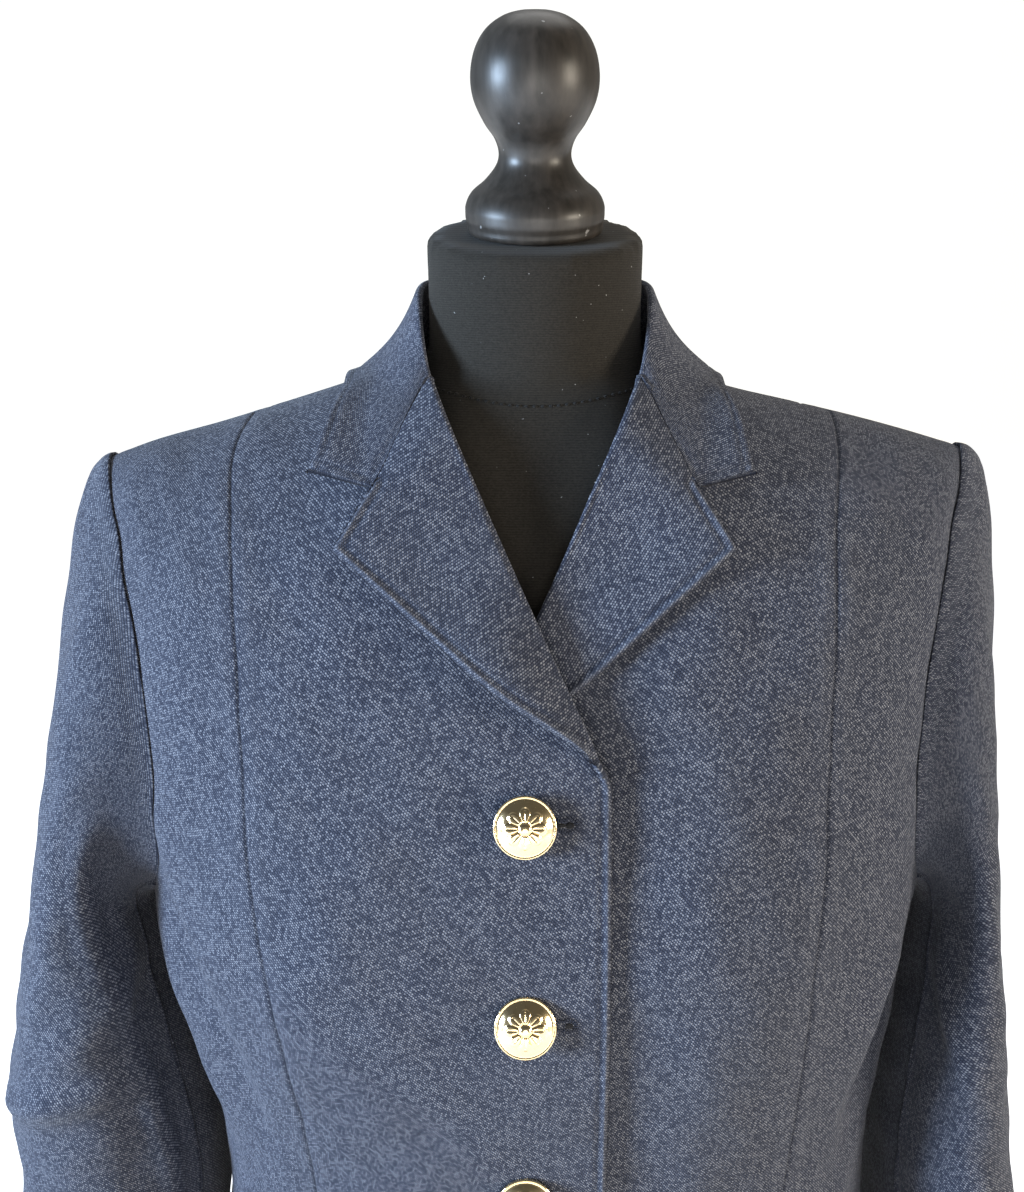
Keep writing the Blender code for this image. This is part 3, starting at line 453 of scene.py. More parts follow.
# The body's girth below the arms, along which the weave of the panels runs.
ringAngles = np.linspace(-180, 180, 721)
ringPoints = torsoPlain(ringAngles, fallOf(ringAngles, 0.25))
ringSteps = np.linalg.norm(np.diff(ringPoints, axis=0), axis=1)
ringLengths = np.concatenate([[0], np.cumsum(ringSteps)]) - ringSteps.sum() / 2


def sideName(name, side):
    return name + {right: "_right", left: "_left"}[side]


def cosineShares(count):  # close together at both ends, where the seams are
    return (1 - np.cos(np.linspace(0, math.pi, count + 1))) / 2


def lengths(points, axis):  # distance from the first row or column, along the cloth
    steps = np.linalg.norm(np.diff(points, axis=axis), axis=-1)
    start = np.zeros_like(np.take(steps, [0], axis=axis))
    return np.concatenate([start, np.cumsum(steps, axis=axis)], axis=axis)


def seamDip(distance):
    ridge = wool["seamPress"] * bell(distance, wool["pressAt"], wool["pressWidth"])
    return ridge - wool["seamDepth"] * bell(distance, 0, wool["seamWidth"])


def turnedEdge(distance):  # a quarter round, then a soft ridge and a faint groove
    inside = np.clip(1 - distance / wool["edgeRadius"], 0, 1)
    ridge = wool["edgeRidge"] * bell(distance, wool["ridgeAt"], wool["edgeWidth"])
    groove = wool["edgeGroove"] * bell(distance, wool["grooveAt"], wool["edgeWidth"])
    return ridge - groove - wool["edgeRadius"] * (1 - np.sqrt(1 - inside**2))


def gorgeDip(distance):  # the finer groove between collar and lapel
    return -wool["gorgeDepth"] * bell(distance, 0, wool["gorgeWidth"])


def together(*dips):  # the deepest groove and the highest ridge of several
    dips = np.broadcast_arrays(*dips)
    return np.minimum(np.minimum.reduce(dips), 0) + np.maximum(np.maximum.reduce(dips), 0)


def distanceTo(points, line):  # from each point of a grid to the nearest point of a seam or an edge
    return np.linalg.norm(points[:, :, None] - line[None, None], axis=-1).min(-1)


def pullBack(points, gap, edges):
    for edge in edges:
        line, inner = {
            "first": (np.s_[:, 0], np.s_[:, 1]),
            "last": (np.s_[:, -1], np.s_[:, -2]),
            "top": (np.s_[0], np.s_[1]),
        }[edge]
        points[line] = points[line] + unit(points[inner] - points[line]) * gap
    return points


def placed(name, mesh, material, nodes):
    piece = bpy.data.objects.new(name, mesh)
    bpy.context.scene.collection.objects.link(piece)
    mesh.materials.append(material)
    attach(piece, "root")
    if nodes:
        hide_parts(*nodes)
    return piece


def finishMesh(name, shape, sharp=None):
    mesh = bpy.data.meshes.new(name)
    shape.to_mesh(mesh)
    shape.free()
    mesh.shade_smooth()
    if sharp:
        mesh.set_sharp_from_angle(angle=math.radians(sharp))
    return mesh


cutSizes = []


def clothPiece(name, points, grain, dip, outward, nodes, **how):
    rows, columns = points.shape[0] - 1, points.shape[1] - 1
    shape = bmesh.new()
    bmesh.ops.create_grid(shape, x_segments=columns, y_segments=rows, size=1)
    mesh = finishMesh(name, shape)
    spot = np.empty(len(mesh.vertices) * 3, np.float32)
    mesh.vertices.foreach_get("co", spot)
    spot = spot.reshape(-1, 3)
    column = np.rint((spot[:, 0] + 1) / 2 * columns).astype(int)
    row = np.rint((1 - spot[:, 1]) / 2 * rows).astype(int)
    world = points + np.array(shoulders)
    mesh.vertices.foreach_set("co", world[row, column].astype(np.float32).ravel())
    corners = np.empty(len(mesh.loops), np.int32)
    mesh.loops.foreach_get("vertex_index", corners)
    weave = mesh.uv_layers.new(name="grain")
    weave.data.foreach_set("uv", grain[row[corners], column[corners]].astype(np.float32).ravel())
    # the dips and ridges of seams and edges also drive painted shade and painted highlight in the
    # wool's colour
    pressed = mesh.attributes.new("pressed", "FLOAT", "POINT")
    pressed.data.foreach_set("value", (dip / wool["edgeRidge"])[row, column].astype(np.float32))
    mesh.update()
    middle = mesh.polygons[(rows // 2) * columns + columns // 2]
    wanted = outward[row[middle.vertices[0]], column[middle.vertices[0]]]
    if np.dot(np.array(middle.normal), wanted) < 0:
        mesh.flip_normals()
    piece = placed(name, mesh, materials["wool"], nodes)
    wall = piece.modifiers.new("wall", "SOLIDIFY")
    wall.thickness = how.get("thickness", wool["panel"])
    wall.offset = -1
    wall.use_quality_normals = True
    corner = points[:-1, :-1]
    cells = np.linalg.norm(np.cross(points[1:, :-1] - corner, points[:-1, 1:] - corner), axis=-1)
    width, length, area = lengths(points, 1)[:, -1].max(), lengths(points, 0)[-1].max(), cells.sum()
    flat = (float(width), float(max(length, area / width)))
    held, restsOn = how.get("held", "hung"), how.get("restsOn", ["form_body"])
    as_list(restsOn)
    cutSizes.append((name, round(flat[0], 3), round(flat[1], 3), round(float(area), 4)))


# Fronts, side fronts, side backs and backs.
panelCut = {"frontColumns": 72, "sideColumns": 48, "backColumns": 56}


def panel(name, side, inner, outer, columns, firstDip=seamDip):
    share = cosineShares(columns)[None, :, None]
    place = inner[:, None] * (1 - share) + outer[:, None] * share
    angle, fall = place[..., 0], place[..., 1]
    points = torso(angle, fall, liftOf(side, angle, fall))
    outward = torsoNormal(angle, fall)
    across, down = lengths(points, 1), lengths(points, 0)
    dip = together(seamDip(across[:, -1:] - across), seamDip(down), firstDip(across))
    points = pullBack(points + outward * dip[..., None], wool["openGap"], ("first", "last", "top"))
    grain = np.stack([np.interp(angle, ringAngles, ringLengths), fallOf(angle, 0.2) - fall], -1)
    clothPiece(sideName("wool_" + name, side), points, grain, dip, outward, [sideName(name, side)])


def bodyPanels(side):
    princess, backPrincess = princessLine(side, False), princessLine(side, True)
    panel("front", side, frontLine(side), princess, panelCut["frontColumns"], turnedEdge)
    panel("side_front", side, princess, sideLine(side, False), panelCut["sideColumns"])
    panel("side_back", side, backPrincess, sideLine(side, True), panelCut["sideColumns"])
    panel("back", side, backLine(side), backPrincess, panelCut["backColumns"])


def surfaceNormals(surface, u, v, stepU, stepV):  # over a few millimetres, so that they run smoothly
    along = surface(u, np.minimum(v + stepV, 1)) - surface(u, np.maximum(v - stepV, -1))
    around = surface(np.minimum(u + stepU, 1), v) - surface(np.maximum(u - stepU, -1), v)
    return unit(np.cross(along, around))


def turnedGrain(across, down, degrees):
    cosine, sine = math.cos(math.radians(degrees)), math.sin(math.radians(degrees))
    return np.stack([across * cosine - down * sine, across * sine + down * cosine], -1)


lapelCut = {
    "lowestWrap": 25,  # degrees that the lapel turns round the front's edge, at its break and above
    "fullWrap": 150,
    "unfolds": (0.80, 1.0),  # share of the roll line over which it turns less
    "flush": (0.88, 1.0),  # and over which it runs into the front's own edge
    "flushLift": 0.0004,
    "leftEnd": 0.86,  # the left lapel ends under the right front
    "edgeRise": 0.0026,
    "riseFrom": (0, 0.15),
    "springHeight": 0.0068,  # the right lapel bows up off the front above its break
    "springShare": 0.72,
    "springWide": 0.22,
    "springTurns": 0.75,
    "grainTurn": -78,
    "tip": 0.15,
    "tipRows": 26,
    "rows": 96,
    "rowPower": 1.15,
    "foldColumns": 10,
    "columns": 56,
    "cornerFade": (0.0003, 0.0015),  # metres from the gorge over which the turned edge begins
    "rippleFade": (0.004, 0.020),
    "rippleScale": 0.5,
}
lapelStyle = {key: column[1:] for key, column in lapelEdge.items()}


def lapelSurface(side):
    def surface(u, v):
        u, v = np.broadcast_arrays(u, v)
        flat = np.maximum(u, 0)[..., None]
        ways = ("across", "drop")
        edge = np.stack([np.interp(v, lapelEdge["share"], lapelEdge[way]) for way in ways], -1)
        soft = np.stack([smooth(lapelStyle, "share", way, v) for way in ways], -1)
        edge = np.where((v > lapelCut["tip"])[..., None], soft, edge)
        folded = 1 - stepUp(*lapelCut["unfolds"], v)
        degrees = lapelCut["lowestWrap"] + (lapelCut["fullWrap"] - lapelCut["lowestWrap"]) * folded
        wrap = np.maximum(-u, 0) * np.radians(degrees)
        start = rollLine(v, wool["rollRadius"] + 0 * v)
        roundFold = rollLine(0 * v, -wool["rollRadius"] * np.sin(wrap)) - rollLine(0 * v)
        place = start + (edge - start) * flat + roundFold
        at = onFront(place[..., 0], place[..., 1], side)
        flush = (wool["lapelLift"] - lapelCut["flushLift"]) * stepUp(*lapelCut["flush"], v)
        lift = wool["lapelLift"] - flush - wool["rollRadius"] * (1 - np.cos(wrap))
        lift = lift + liftOf(side, at[..., 0], at[..., 1])
        rise = lapelCut["edgeRise"] * flat[..., 0] ** 2 * stepUp(*lapelCut["riseFrom"], v)
        lift = lift + rise * folded
        if side == right:
            along = bell(v, lapelCut["springShare"], lapelCut["springWide"])
            rise = np.sin(math.pi * lapelCut["springTurns"] * flat[..., 0])
            lift = lift + lapelCut["springHeight"] * along * rise
        return torso(at[..., 0], at[..., 1], lift)

    return surface


def lapel(side):
    last = 1.0 if side == right else lapelCut["leftEnd"]
    tip, fold = lapelCut["tip"], lapelCut["foldColumns"]
    below = np.linspace(0, 1, lapelCut["rows"])[1:] ** lapelCut["rowPower"]
    rows = np.concatenate([tip * cosineShares(lapelCut["tipRows"]), tip + (last - tip) * below])
    facingColumns = np.sin(np.linspace(0, math.pi / 2, lapelCut["columns"]))
    u, v = np.meshgrid(np.concatenate([np.linspace(-1, 0, fold + 1)[:-1], facingColumns]), rows)
    surface = lapelSurface(side)
    points, outward = surface(u, v), surfaceNormals(surface, u, v, 0.02, 0.01) * side
    facing = points[:, fold:]
    place = onFront(facing[..., 0] * side, -facing[..., 2], side)
    outward[:, fold:] = torsoNormal(place[..., 0], place[..., 1])
    fromEdge, fromGorge = distanceTo(facing, facing[:, -1]), distanceTo(facing, facing[0])
    edge = turnedEdge(fromEdge) * stepUp(*lapelCut["cornerFade"], fromGorge)
    uneven = ripple(*(facing[..., axis] * lapelCut["rippleScale"] for axis in (0, 2)))
    pressed, wave = np.zeros(u.shape), np.zeros(u.shape)
    pressed[:, fold:] = together(edge, gorgeDip(fromGorge))
    wave[:, fold:] = wool["ripple"] * uneven * stepUp(*lapelCut["rippleFade"], fromGorge)
    points = pullBack(points + outward * (pressed + wave)[..., None], wool["openGap"], ("top",))
    grain = turnedGrain(points[..., 0], points[..., 2], lapelCut["grainTurn"] * -side)
    how = {"thickness": wool["folded"], "held": "folded", "restsOn": [sideName("wool_front", side)]}
    nodes = [sideName("lapel", side)]
    clothPiece(sideName("wool_lapel", side), points, grain, pressed, outward, nodes, **how)


collarRows = table(
    "station rollX rollY rollZ edgeX edgeY edgeZ",
    (0.00, 0.0000, 0.0660, 0.0840, 0.0000, 0.0860, 0.0340),
    (0.20, 0.0270, 0.0590, 0.0835, 0.0430, 0.0790, 0.0350),
    (0.40, 0.0455, 0.0350, 0.0815, 0.0760, 0.0440, 0.0380),
    (0.58, 0.0520, 0.0040, 0.0780, 0.0865, 0.0040, 0.0380),
    (0.72, 0.0510, -0.0170, 0.0680, 0.0860, -0.0260, 0.0305),
    (0.86, 0.0485, -0.0340, 0.0530, 0.0880, -0.0490, 0.0160),
    (1.00, 0.0441, -0.0450, 0.0400, 0.0909, -0.0673, -0.0010),
)
collarCut = {
    "tip": {right: (0.0938, 0.0012), left: (0.0908, 0.0020)},
    "lift": 0.0050,
    "spring": 0.0046,  # the front corners stand a little off the chest
    "springFrom": (0.66, 0.82),
    "bow": 0.0050,
    "standLift": 0.0016,
    "gorgeGap": -0.0004,
    "standEnd": 0.26,  # shares of the way from the neck seam, over the fold, to the style edge
    "freeFold": 0.41,
    "foldEnd": 0.52,
    "grainAt": 0.76,
    "notch": 0.80,
    "notchFade": 0.03,
    "frontEnd": 0.74,  # station from which the collar runs into its straight end
    "settled": 0.75,
    "stations": 104,
    "stationPower": 1.5,
    "rows": (8, 14, 24, 24),  # of the stand, the fold, the fall to the notch and the rest of the fall
    "easings": 4,
    "grainTurn": 80,
}


def bodyTree():  # the body's surface round the neck, on which the collar rests
    angles, falls = np.meshgrid(np.linspace(-180, 180, 361), np.linspace(0, 0.2, 101))
    points = torso(angles, falls)
    rows, columns = angles.shape
    corners = np.arange(rows * columns).reshape(rows, columns)
    faces = np.stack([corners[:-1, :-1], corners[1:, :-1], corners[1:, 1:], corners[:-1, 1:]], -1)
    return BVHTree.FromPolygons(points.reshape(-1, 3).tolist(), faces.reshape(-1, 4).tolist())


def rested(points, tree, lifts):  # pushed out to at least their lift above the body
    for i, lift in enumerate(lifts):
        place, normal = tree.find_nearest(Vector(points[i]))[:2]
        short = lift - (Vector(points[i]) - place).dot(normal)
        if short > 0:
            points[i] = place + normal * lift
    return points


def collarSurface(tree):
    flipped = ("station", "rollX", "edgeX")
    mirrored = {
        key: np.concatenate([value[:0:-1] * (-1 if key in flipped else 1), value])
        for key, value in collarRows.items()
    }
    standEnd, foldEnd, notchAt = (collarCut[key] for key in ("standEnd", "foldEnd", "notch"))

    def at(prefix, v):
        return np.stack([smooth(mirrored, "station", prefix + axis, v) for axis in "XYZ"], -1)

    def section(u, v):
        roll, edge = at("roll", v), at("edge", v)
        place = np.where((v < 0)[..., None], neckline(right, np.abs(v)), neckline(left, np.abs(v)))
        seam = torso(place[..., 0], place[..., 1], np.full(v.shape, collarCut["standLift"]))
        into = unit(unit(seam - roll) + unit(edge - roll))
        across = edge - seam
        across = unit(across - into * (across * into).sum(-1, keepdims=True))
        centre = roll + into * wool["rollRadius"]
        turn = (np.clip((u - standEnd) / (foldEnd - standEnd), 0, 1) - 0.5)[..., None] * math.pi
        fold = centre + (across * np.sin(turn) - into * np.cos(turn)) * wool["rollRadius"]
        up = np.clip(1 - u / standEnd, 0, 1)[..., None]
        down = np.clip((u - foldEnd) / (1 - foldEnd), 0, 1)[..., None]
        bow = across * collarCut["bow"] * np.sin(math.pi * down)
        return fold + (seam - fold) * up + (edge - fold) * down - bow

    def frontEnd(u, v, side):
        toNotch = np.clip((u - foldEnd) / (notchAt - foldEnd), 0, 1)
        onGorge = lapelSurface(side)(np.where(u < foldEnd, u / foldEnd - 1, toNotch), np.zeros(u.shape))
        notch = np.array([lapelEdge["across"][0], lapelEdge["drop"][0]])
        share = np.clip((u - notchAt) / (1 - notchAt), 0, 1)[..., None]
        place = notch + (np.array(collarCut["tip"][side]) - notch) * share
        tip = onFront(place[..., 0], place[..., 1], side)
        lift = wool["lapelLift"] + collarCut["spring"] * share[..., 0]
        return np.where((u < notchAt)[..., None], onGorge, torso(tip[..., 0], tip[..., 1], lift))

    def surface(u, v):
        u, v = np.broadcast_arrays(u, v)
        points = section(u, v)
        end = np.where((v < 0)[..., None], frontEnd(u, v, right), frontEnd(u, v, left))
        share = stepUp(collarCut["frontEnd"], 1.0, np.abs(v))
        points = points + (end - points) * share[..., None]
        lifts = collarCut["lift"] + (wool["lapelLift"] - collarCut["lift"]) * share
        corner = stepUp(notchAt, 1.0, u) * stepUp(*collarCut["springFrom"], np.abs(v))
        lifts = lifts + collarCut["spring"] * corner
        fall = u > collarCut["freeFold"]
        atEnd = stepUp(collarCut["settled"], 1.0, share[fall])[:, None]
        resting = rested(points[fall].copy(), tree, lifts[fall])
        points[fall] = points[fall] * atEnd + resting * (1 - atEnd)
        return points

    return surface


def eased(grid, times):  # evens out a grid of points or normals between its edges
    for _ in range(times):
        around = grid[1:-1, 2:] + grid[1:-1, :-2] + grid[2:, 1:-1] + grid[:-2, 1:-1]
        grid[1:-1, 1:-1] = grid[1:-1, 1:-1] * 0.5 + around * 0.125
    return grid


def collar(tree):
    half = 1 - (1 - np.linspace(0, 1, collarCut["stations"])) ** collarCut["stationPower"]
    stations = np.concatenate([-half[:0:-1], half])
    standEnd, foldEnd, notchAt = (collarCut[key] for key in ("standEnd", "foldEnd", "notch"))
    standRows, foldRows, toNotch, beyond = collarCut["rows"]
    section = np.concatenate([
        np.linspace(0, standEnd, standRows + 1),
        np.linspace(standEnd, foldEnd, foldRows + 1)[1:],
        foldEnd + (notchAt - foldEnd) * cosineShares(toNotch)[1:],
        notchAt + (1 - notchAt) * cosineShares(beyond)[1:],
    ])
    v, u = np.meshgrid(stations, section)
    surface = collarSurface(tree)
    points = eased(surface(u, v), collarCut["easings"])
    outward = surfaceNormals(surface, u, v, 0.02, 0.012)
    across, down = lengths(points, 1), lengths(points, 0)
    toEnd = np.minimum(across, across[:, -1:] - across)
    pastNotch = stepUp(notchAt, notchAt + collarCut["notchFade"], u)
    free = np.minimum(turnedEdge(down[-1:] - down) * (u > foldEnd), turnedEdge(toEnd) * pastNotch)
    dip = together(free, gorgeDip(toEnd) * (u > foldEnd) * (1 - pastNotch))
    points = pullBack(points + outward * dip[..., None], collarCut["gorgeGap"], ("first", "last"))
    middle = int(np.searchsorted(section, collarCut["grainAt"]))
    heading = unit(np.gradient(points[middle], axis=0))
    fromBack = across[middle] - across[middle, across.shape[1] // 2]
    fromBack = fromBack + ((points - points[middle]) * heading).sum(-1)
    grain = turnedGrain(fromBack, down[middle] - down, collarCut["grainTurn"])
    backs = [sideName("wool_back", side) for side in (right, left)]
    how = {"thickness": wool["folded"], "held": "folded", "restsOn": backs}
    clothPiece("wool_collar", points, grain, dip, outward, ["collar"], **how)


# Sleeves: sides of the ring at each drop below the armpit, and how the cap leaves the armhole.
ringColumns = "drop inner outer front back"
sleeveRings = {
    right: table(
        ringColumns,
        (0.215, 0.1905, 0.2445, -0.078, 0.070),
        (0.260, 0.1820, 0.2555, -0.077, 0.066),
        (0.310, 0.1720, 0.2652, -0.073, 0.062),
        (0.360, 0.1668, 0.2678, -0.068, 0.056),
        (0.420, 0.1712, 0.2716, -0.069, 0.050),
        (0.480, 0.1860, 0.2750, -0.075, 0.042),
        (0.530, 0.1990, 0.2830, -0.081, 0.034),
        (0.585, 0.2120, 0.2860, -0.086, 0.026),
    ),
    left: table(
        ringColumns,
        (0.215, 0.1905, 0.2185, -0.084, 0.074),
        (0.260, 0.1875, 0.2262, -0.085, 0.071),
        (0.310, 0.1825, 0.2350, -0.082, 0.068),
        (0.360, 0.1810, 0.2425, -0.079, 0.066),
        (0.420, 0.1830, 0.2470, -0.079, 0.060),
        (0.480, 0.1905, 0.2520, -0.083, 0.052),
        (0.530, 0.2010, 0.2590, -0.088, 0.044),
        (0.585, 0.2120, 0.2680, -0.092, 0.036),
    ),
}
sleeveCut = {
    "roundness": 2.3,
    "cuff": 0.585,
    "armpit": 0.215,
    "armTurn": 1.5,  # how far the arm's direction follows the armhole round
    "capPower": 1.4,
    "capRows": 52,
    "tubeRows": 84,
    "girth": 0.36,
    "underFrom": 10 / 24,  # turns at which the under sleeve begins and ends
    "underTo": 18 / 24,
    "topColumns": 88,
    "underColumns": 46,
    "under": 0.0006,  # the sleeve starts this far inside the body cloth's edge
    "tuck": 0.0003,
    "tuckWidth": 0.0012,
    "fullness": {right: 0.0, left: 0.7},
    "roping": 0.0007,  # soft roll of the sleeve head beside its seam
    "ropingAt": 0.006,
    "ropingWidth": 0.0045,
    "ripple": 1.4,  # times that of the body
    "slope": 0.01,
    "aside": 1e-4,
}
capRows = table(
    "turn reach rise pull",
    (0.00, 0.027, 0.0070, 0.060),
    (0.25, 0.016, 0.0040, 0.060),
    (0.50, 0.003, 0.0000, 0.004),
    (0.75, 0.016, 0.0040, 0.060),
    (1.00, 0.027, 0.0070, 0.060),
)
sleeveFolds = {
    right: table(
        foldColumns,
        (0.06, 0.316, 0.36, 0.286, 0.008, -0.0055),
        (0.02, 0.370, 0.30, 0.350, 0.013, 0.0018),
        (0.42, 0.215, 0.22, 0.290, 0.013, -0.0040),
        (0.27, 0.140, 0.35, 0.270, 0.009, -0.0040),
        (0.35, 0.255, 0.37, 0.390, 0.006, -0.0045),
        (0.70, 0.330, 1.00, 0.350, 0.014, -0.0050),
        (0.64, 0.400, 0.90, 0.420, 0.014, -0.0040),
    ),
    left: table(
        foldColumns,
        (0.06, 0.180, 0.07, 0.420, 0.009, 0.0040),
        (0.40, 0.220, 0.24, 0.300, 0.012, -0.0045),
        (0.30, 0.350, 0.10, 0.375, 0.012, -0.0040),
        (0.66, 0.330, 0.94, 0.350, 0.014, -0.0045),
    ),
}
sleeveCreases = {
    right: table(
        foldColumns,
        (0.00, 0.330, 0.12, 0.318, 0.006, 0.0014),
        (0.12, 0.358, 0.30, 0.345, 0.006, -0.0012),
        (0.05, 0.300, 0.22, 0.290, 0.009, -0.0010),
        (0.34, 0.300, 0.28, 0.400, 0.007, 0.0016),
        (0.44, 0.235, 0.30, 0.275, 0.006, 0.0012),
        (0.40, 0.205, 0.26, 0.250, 0.006, -0.0012),
        (0.16, 0.400, 0.26, 0.470, 0.010, -0.0012),
        (0.06, 0.420, 0.14, 0.520, 0.011, 0.0013),
        (0.90, 0.300, 0.80, 0.330, 0.007, -0.0013),
        (0.74, 0.300, 0.88, 0.318, 0.006, 0.0012),
        (0.62, 0.240, 0.76, 0.290, 0.009, -0.0015),
        (0.08, 0.080, 0.12, 0.190, 0.012, -0.0010),
        (0.88, 0.070, 0.84, 0.190, 0.012, -0.0010),
    ),
    left: table(
        foldColumns,
        (0.16, 0.330, 0.30, 0.318, 0.006, 0.0012),
        (0.05, 0.385, 0.20, 0.392, 0.007, -0.0012),
        (0.42, 0.235, 0.28, 0.290, 0.006, 0.0012),
        (0.36, 0.225, 0.22, 0.270, 0.007, -0.0010),
        (0.20, 0.410, 0.30, 0.480, 0.009, 0.0012),
        (0.06, 0.430, 0.10, 0.560, 0.008, 0.0022),
        (0.12, 0.420, 0.16, 0.560, 0.011, -0.0014),
        (0.92, 0.300, 0.80, 0.330, 0.007, -0.0013),
        (0.74, 0.305, 0.88, 0.320, 0.006, 0.0012),
        (0.62, 0.240, 0.76, 0.290, 0.009, -0.0015),
        (0.12, 0.070, 0.16, 0.200, 0.012, -0.0011),
        (0.88, 0.070, 0.84, 0.190, 0.012, -0.0010),
    ),
}


def sleeveRing(side, turn, drop):
    inner, outer, front, back = (
        smooth(sleeveRings[side], "drop", key, drop) for key in ("inner", "outer", "front", "back")
    )
    wide = signedPower(np.cos(turn * math.tau), 2 / sleeveCut["roundness"])
    deep = signedPower(np.sin(turn * math.tau), 2 / sleeveCut["roundness"])
    x = side * ((outer + inner) / 2 + (outer - inner) / 2 * wide)
    y = (front + back) / 2 + (front - back) / 2 * deep
    return np.stack(np.broadcast_arrays(x, y, -drop), -1)


def sleeveBase(side, u, v):
    u, v = np.broadcast_arrays(u, v)
    turn = u[:1] % 1
    seam = armhole(side, turn)
    start = torso(seam[..., 0], seam[..., 1])
    offBody = torsoNormal(seam[..., 0], seam[..., 1])
    swing = sleeveCut["armTurn"] * start[..., 1]
    alongArm = unit(np.stack([side * np.ones(turn.shape), swing, 0 * turn], -1))
    start = start - alongArm * sleeveCut["under"]
    keys = ("reach", "rise", "pull")
    reach, rise, pull = (smooth(capRows, "turn", key, turn)[..., None] for key in keys)
    armpit = sleeveCut["armpit"]
    ring = sleeveRing(side, turn, np.full(turn.shape, armpit))
    slope = sleeveCut["slope"]
    run = (sleeveRing(side, turn, np.full(turn.shape, armpit + slope)) - ring) / slope
    leave = start + alongArm * reach + offBody * rise * sleeveCut["fullness"][side]
    arrive = ring - run * pull
    t = np.clip(v, 0, 1)[..., None]
    cap = start * (1 - t) ** 3 + 3 * leave * t * (1 - t) ** 2
    cap = cap + 3 * arrive * t**2 * (1 - t) + ring * t**3
    drop = armpit + (sleeveCut["cuff"] - armpit) * np.maximum(v - 1, 0)
    return np.where((v < 1)[..., None], cap, sleeveRing(side, turn, drop))


def sleeve(side):
    cap = np.linspace(0, 1, sleeveCut["capRows"] + 1) ** sleeveCut["capPower"]
    rows = np.concatenate([cap, 1 + np.linspace(0, 1, sleeveCut["tubeRows"] + 1)[1:]])
    under, top = sleeveCut["underFrom"], sleeveCut["underTo"]
    parts = {
        "top_sleeve": top + (1 + under - top) * cosineShares(sleeveCut["topColumns"]),
        "under_sleeve": under + (top - under) * cosineShares(sleeveCut["underColumns"]),
    }
    aside, girth = sleeveCut["aside"], sleeveCut["girth"]
    for name, turns in parts.items():
        u, v = np.meshgrid(turns, rows)
        along = sleeveBase(side, u, v + aside) - sleeveBase(side, u, np.maximum(v - aside, 0))
        around = sleeveBase(side, u + aside, v) - sleeveBase(side, u - aside, v)
        outward = unit(np.cross(along, around)) * side
        points = sleeveBase(side, u, v)
        fold = foldHeight(sleeveFolds[side], u, -points[..., 2], 1, girth)
        fold = fold + foldHeight(sleeveCreases[side], u, -points[..., 2], 1, girth)
        uneven = wool["ripple"] * sleeveCut["ripple"] * ripple(u * girth, points[..., 2])
        fold = fold * stepUp(0, 0.5, v) + uneven
        across, down = lengths(points, 1), lengths(points, 0)
        roll = sleeveCut["roping"] * bell(down, sleeveCut["ropingAt"], sleeveCut["ropingWidth"])
        roll = roll * np.cos(u * math.pi) ** 2
        tuck = sleeveCut["tuck"] * bell(down, 0, sleeveCut["tuckWidth"])
        dip = together(seamDip(across), seamDip(across[:, -1:] - across)) - tuck + roll
        points = points + outward * (fold + dip)[..., None]
        points = pullBack(points, wool["openGap"], ("first", "last"))
        centre = across[:, across.shape[1] // 2][:, None]
        grain = np.stack([side * (centre - across), down[sleeveCut["capRows"]] - down], -1)
        clothPiece(sideName("wool_" + name, side), points, grain, dip, outward, [sideName(name, side)])


buttonCut = {
    "across": 0.004,
    "drops": (0.1300, 0.2150, 0.3085, 0.397),
    "tiltUp": (0.04, 0.32, 0.30, 0.20),  # the shank lets each button tip up off the cloth
    "steps": 96,
    "finer": 9,
    "dome": (0.0105, 0.0052),  # the petals lie inside this radius and above this height
    "petals": 8,
    "petalHeight": 0.0008,
    "petalReach": (0.0042, 0.0042),  # radius between two petals, and how much further their tips go
    "petalTip": 0.45,
    "petalSoft": 0.00018,
    "petalShare": 0.7,
    "cleftWidth": 0.0011,
    "cleftFrom": 0.0028,
    "cleftDepth": 0.9,
    "veinWidth": 0.0010,
    "veinSpan": (0.0034, 0.0074),
    "veinDepth": 0.35,
    "boss": 0.0020,
    "bossShare": 0.7,
    "ringAt": 0.0026,
    "ringWidth": 0.00035,
    "ringDepth": 0.7,
    "rim": (0.0115, 0.0050),  # the beads lie outside this radius and above this height
    "beads": 40,
    "beadHeight": 0.00012,
}
buttonRows = table(
    "radius height",
    (0.0000, 0.0086),
    (0.0024, 0.00852),
    (0.0045, 0.00830),
    (0.0066, 0.00787),
    (0.0085, 0.0072),
    (0.0099, 0.00642),
    (0.0108, 0.0058),
    (0.0116, 0.0055),
    (0.0122, 0.0057),
    (0.0127, 0.0052),
    (0.0125, 0.0041),
    (0.0085, 0.0036),
    (0.0030, 0.0034),
    (0.0026, 0.0004),
    (0.0000, 0.0004),
)


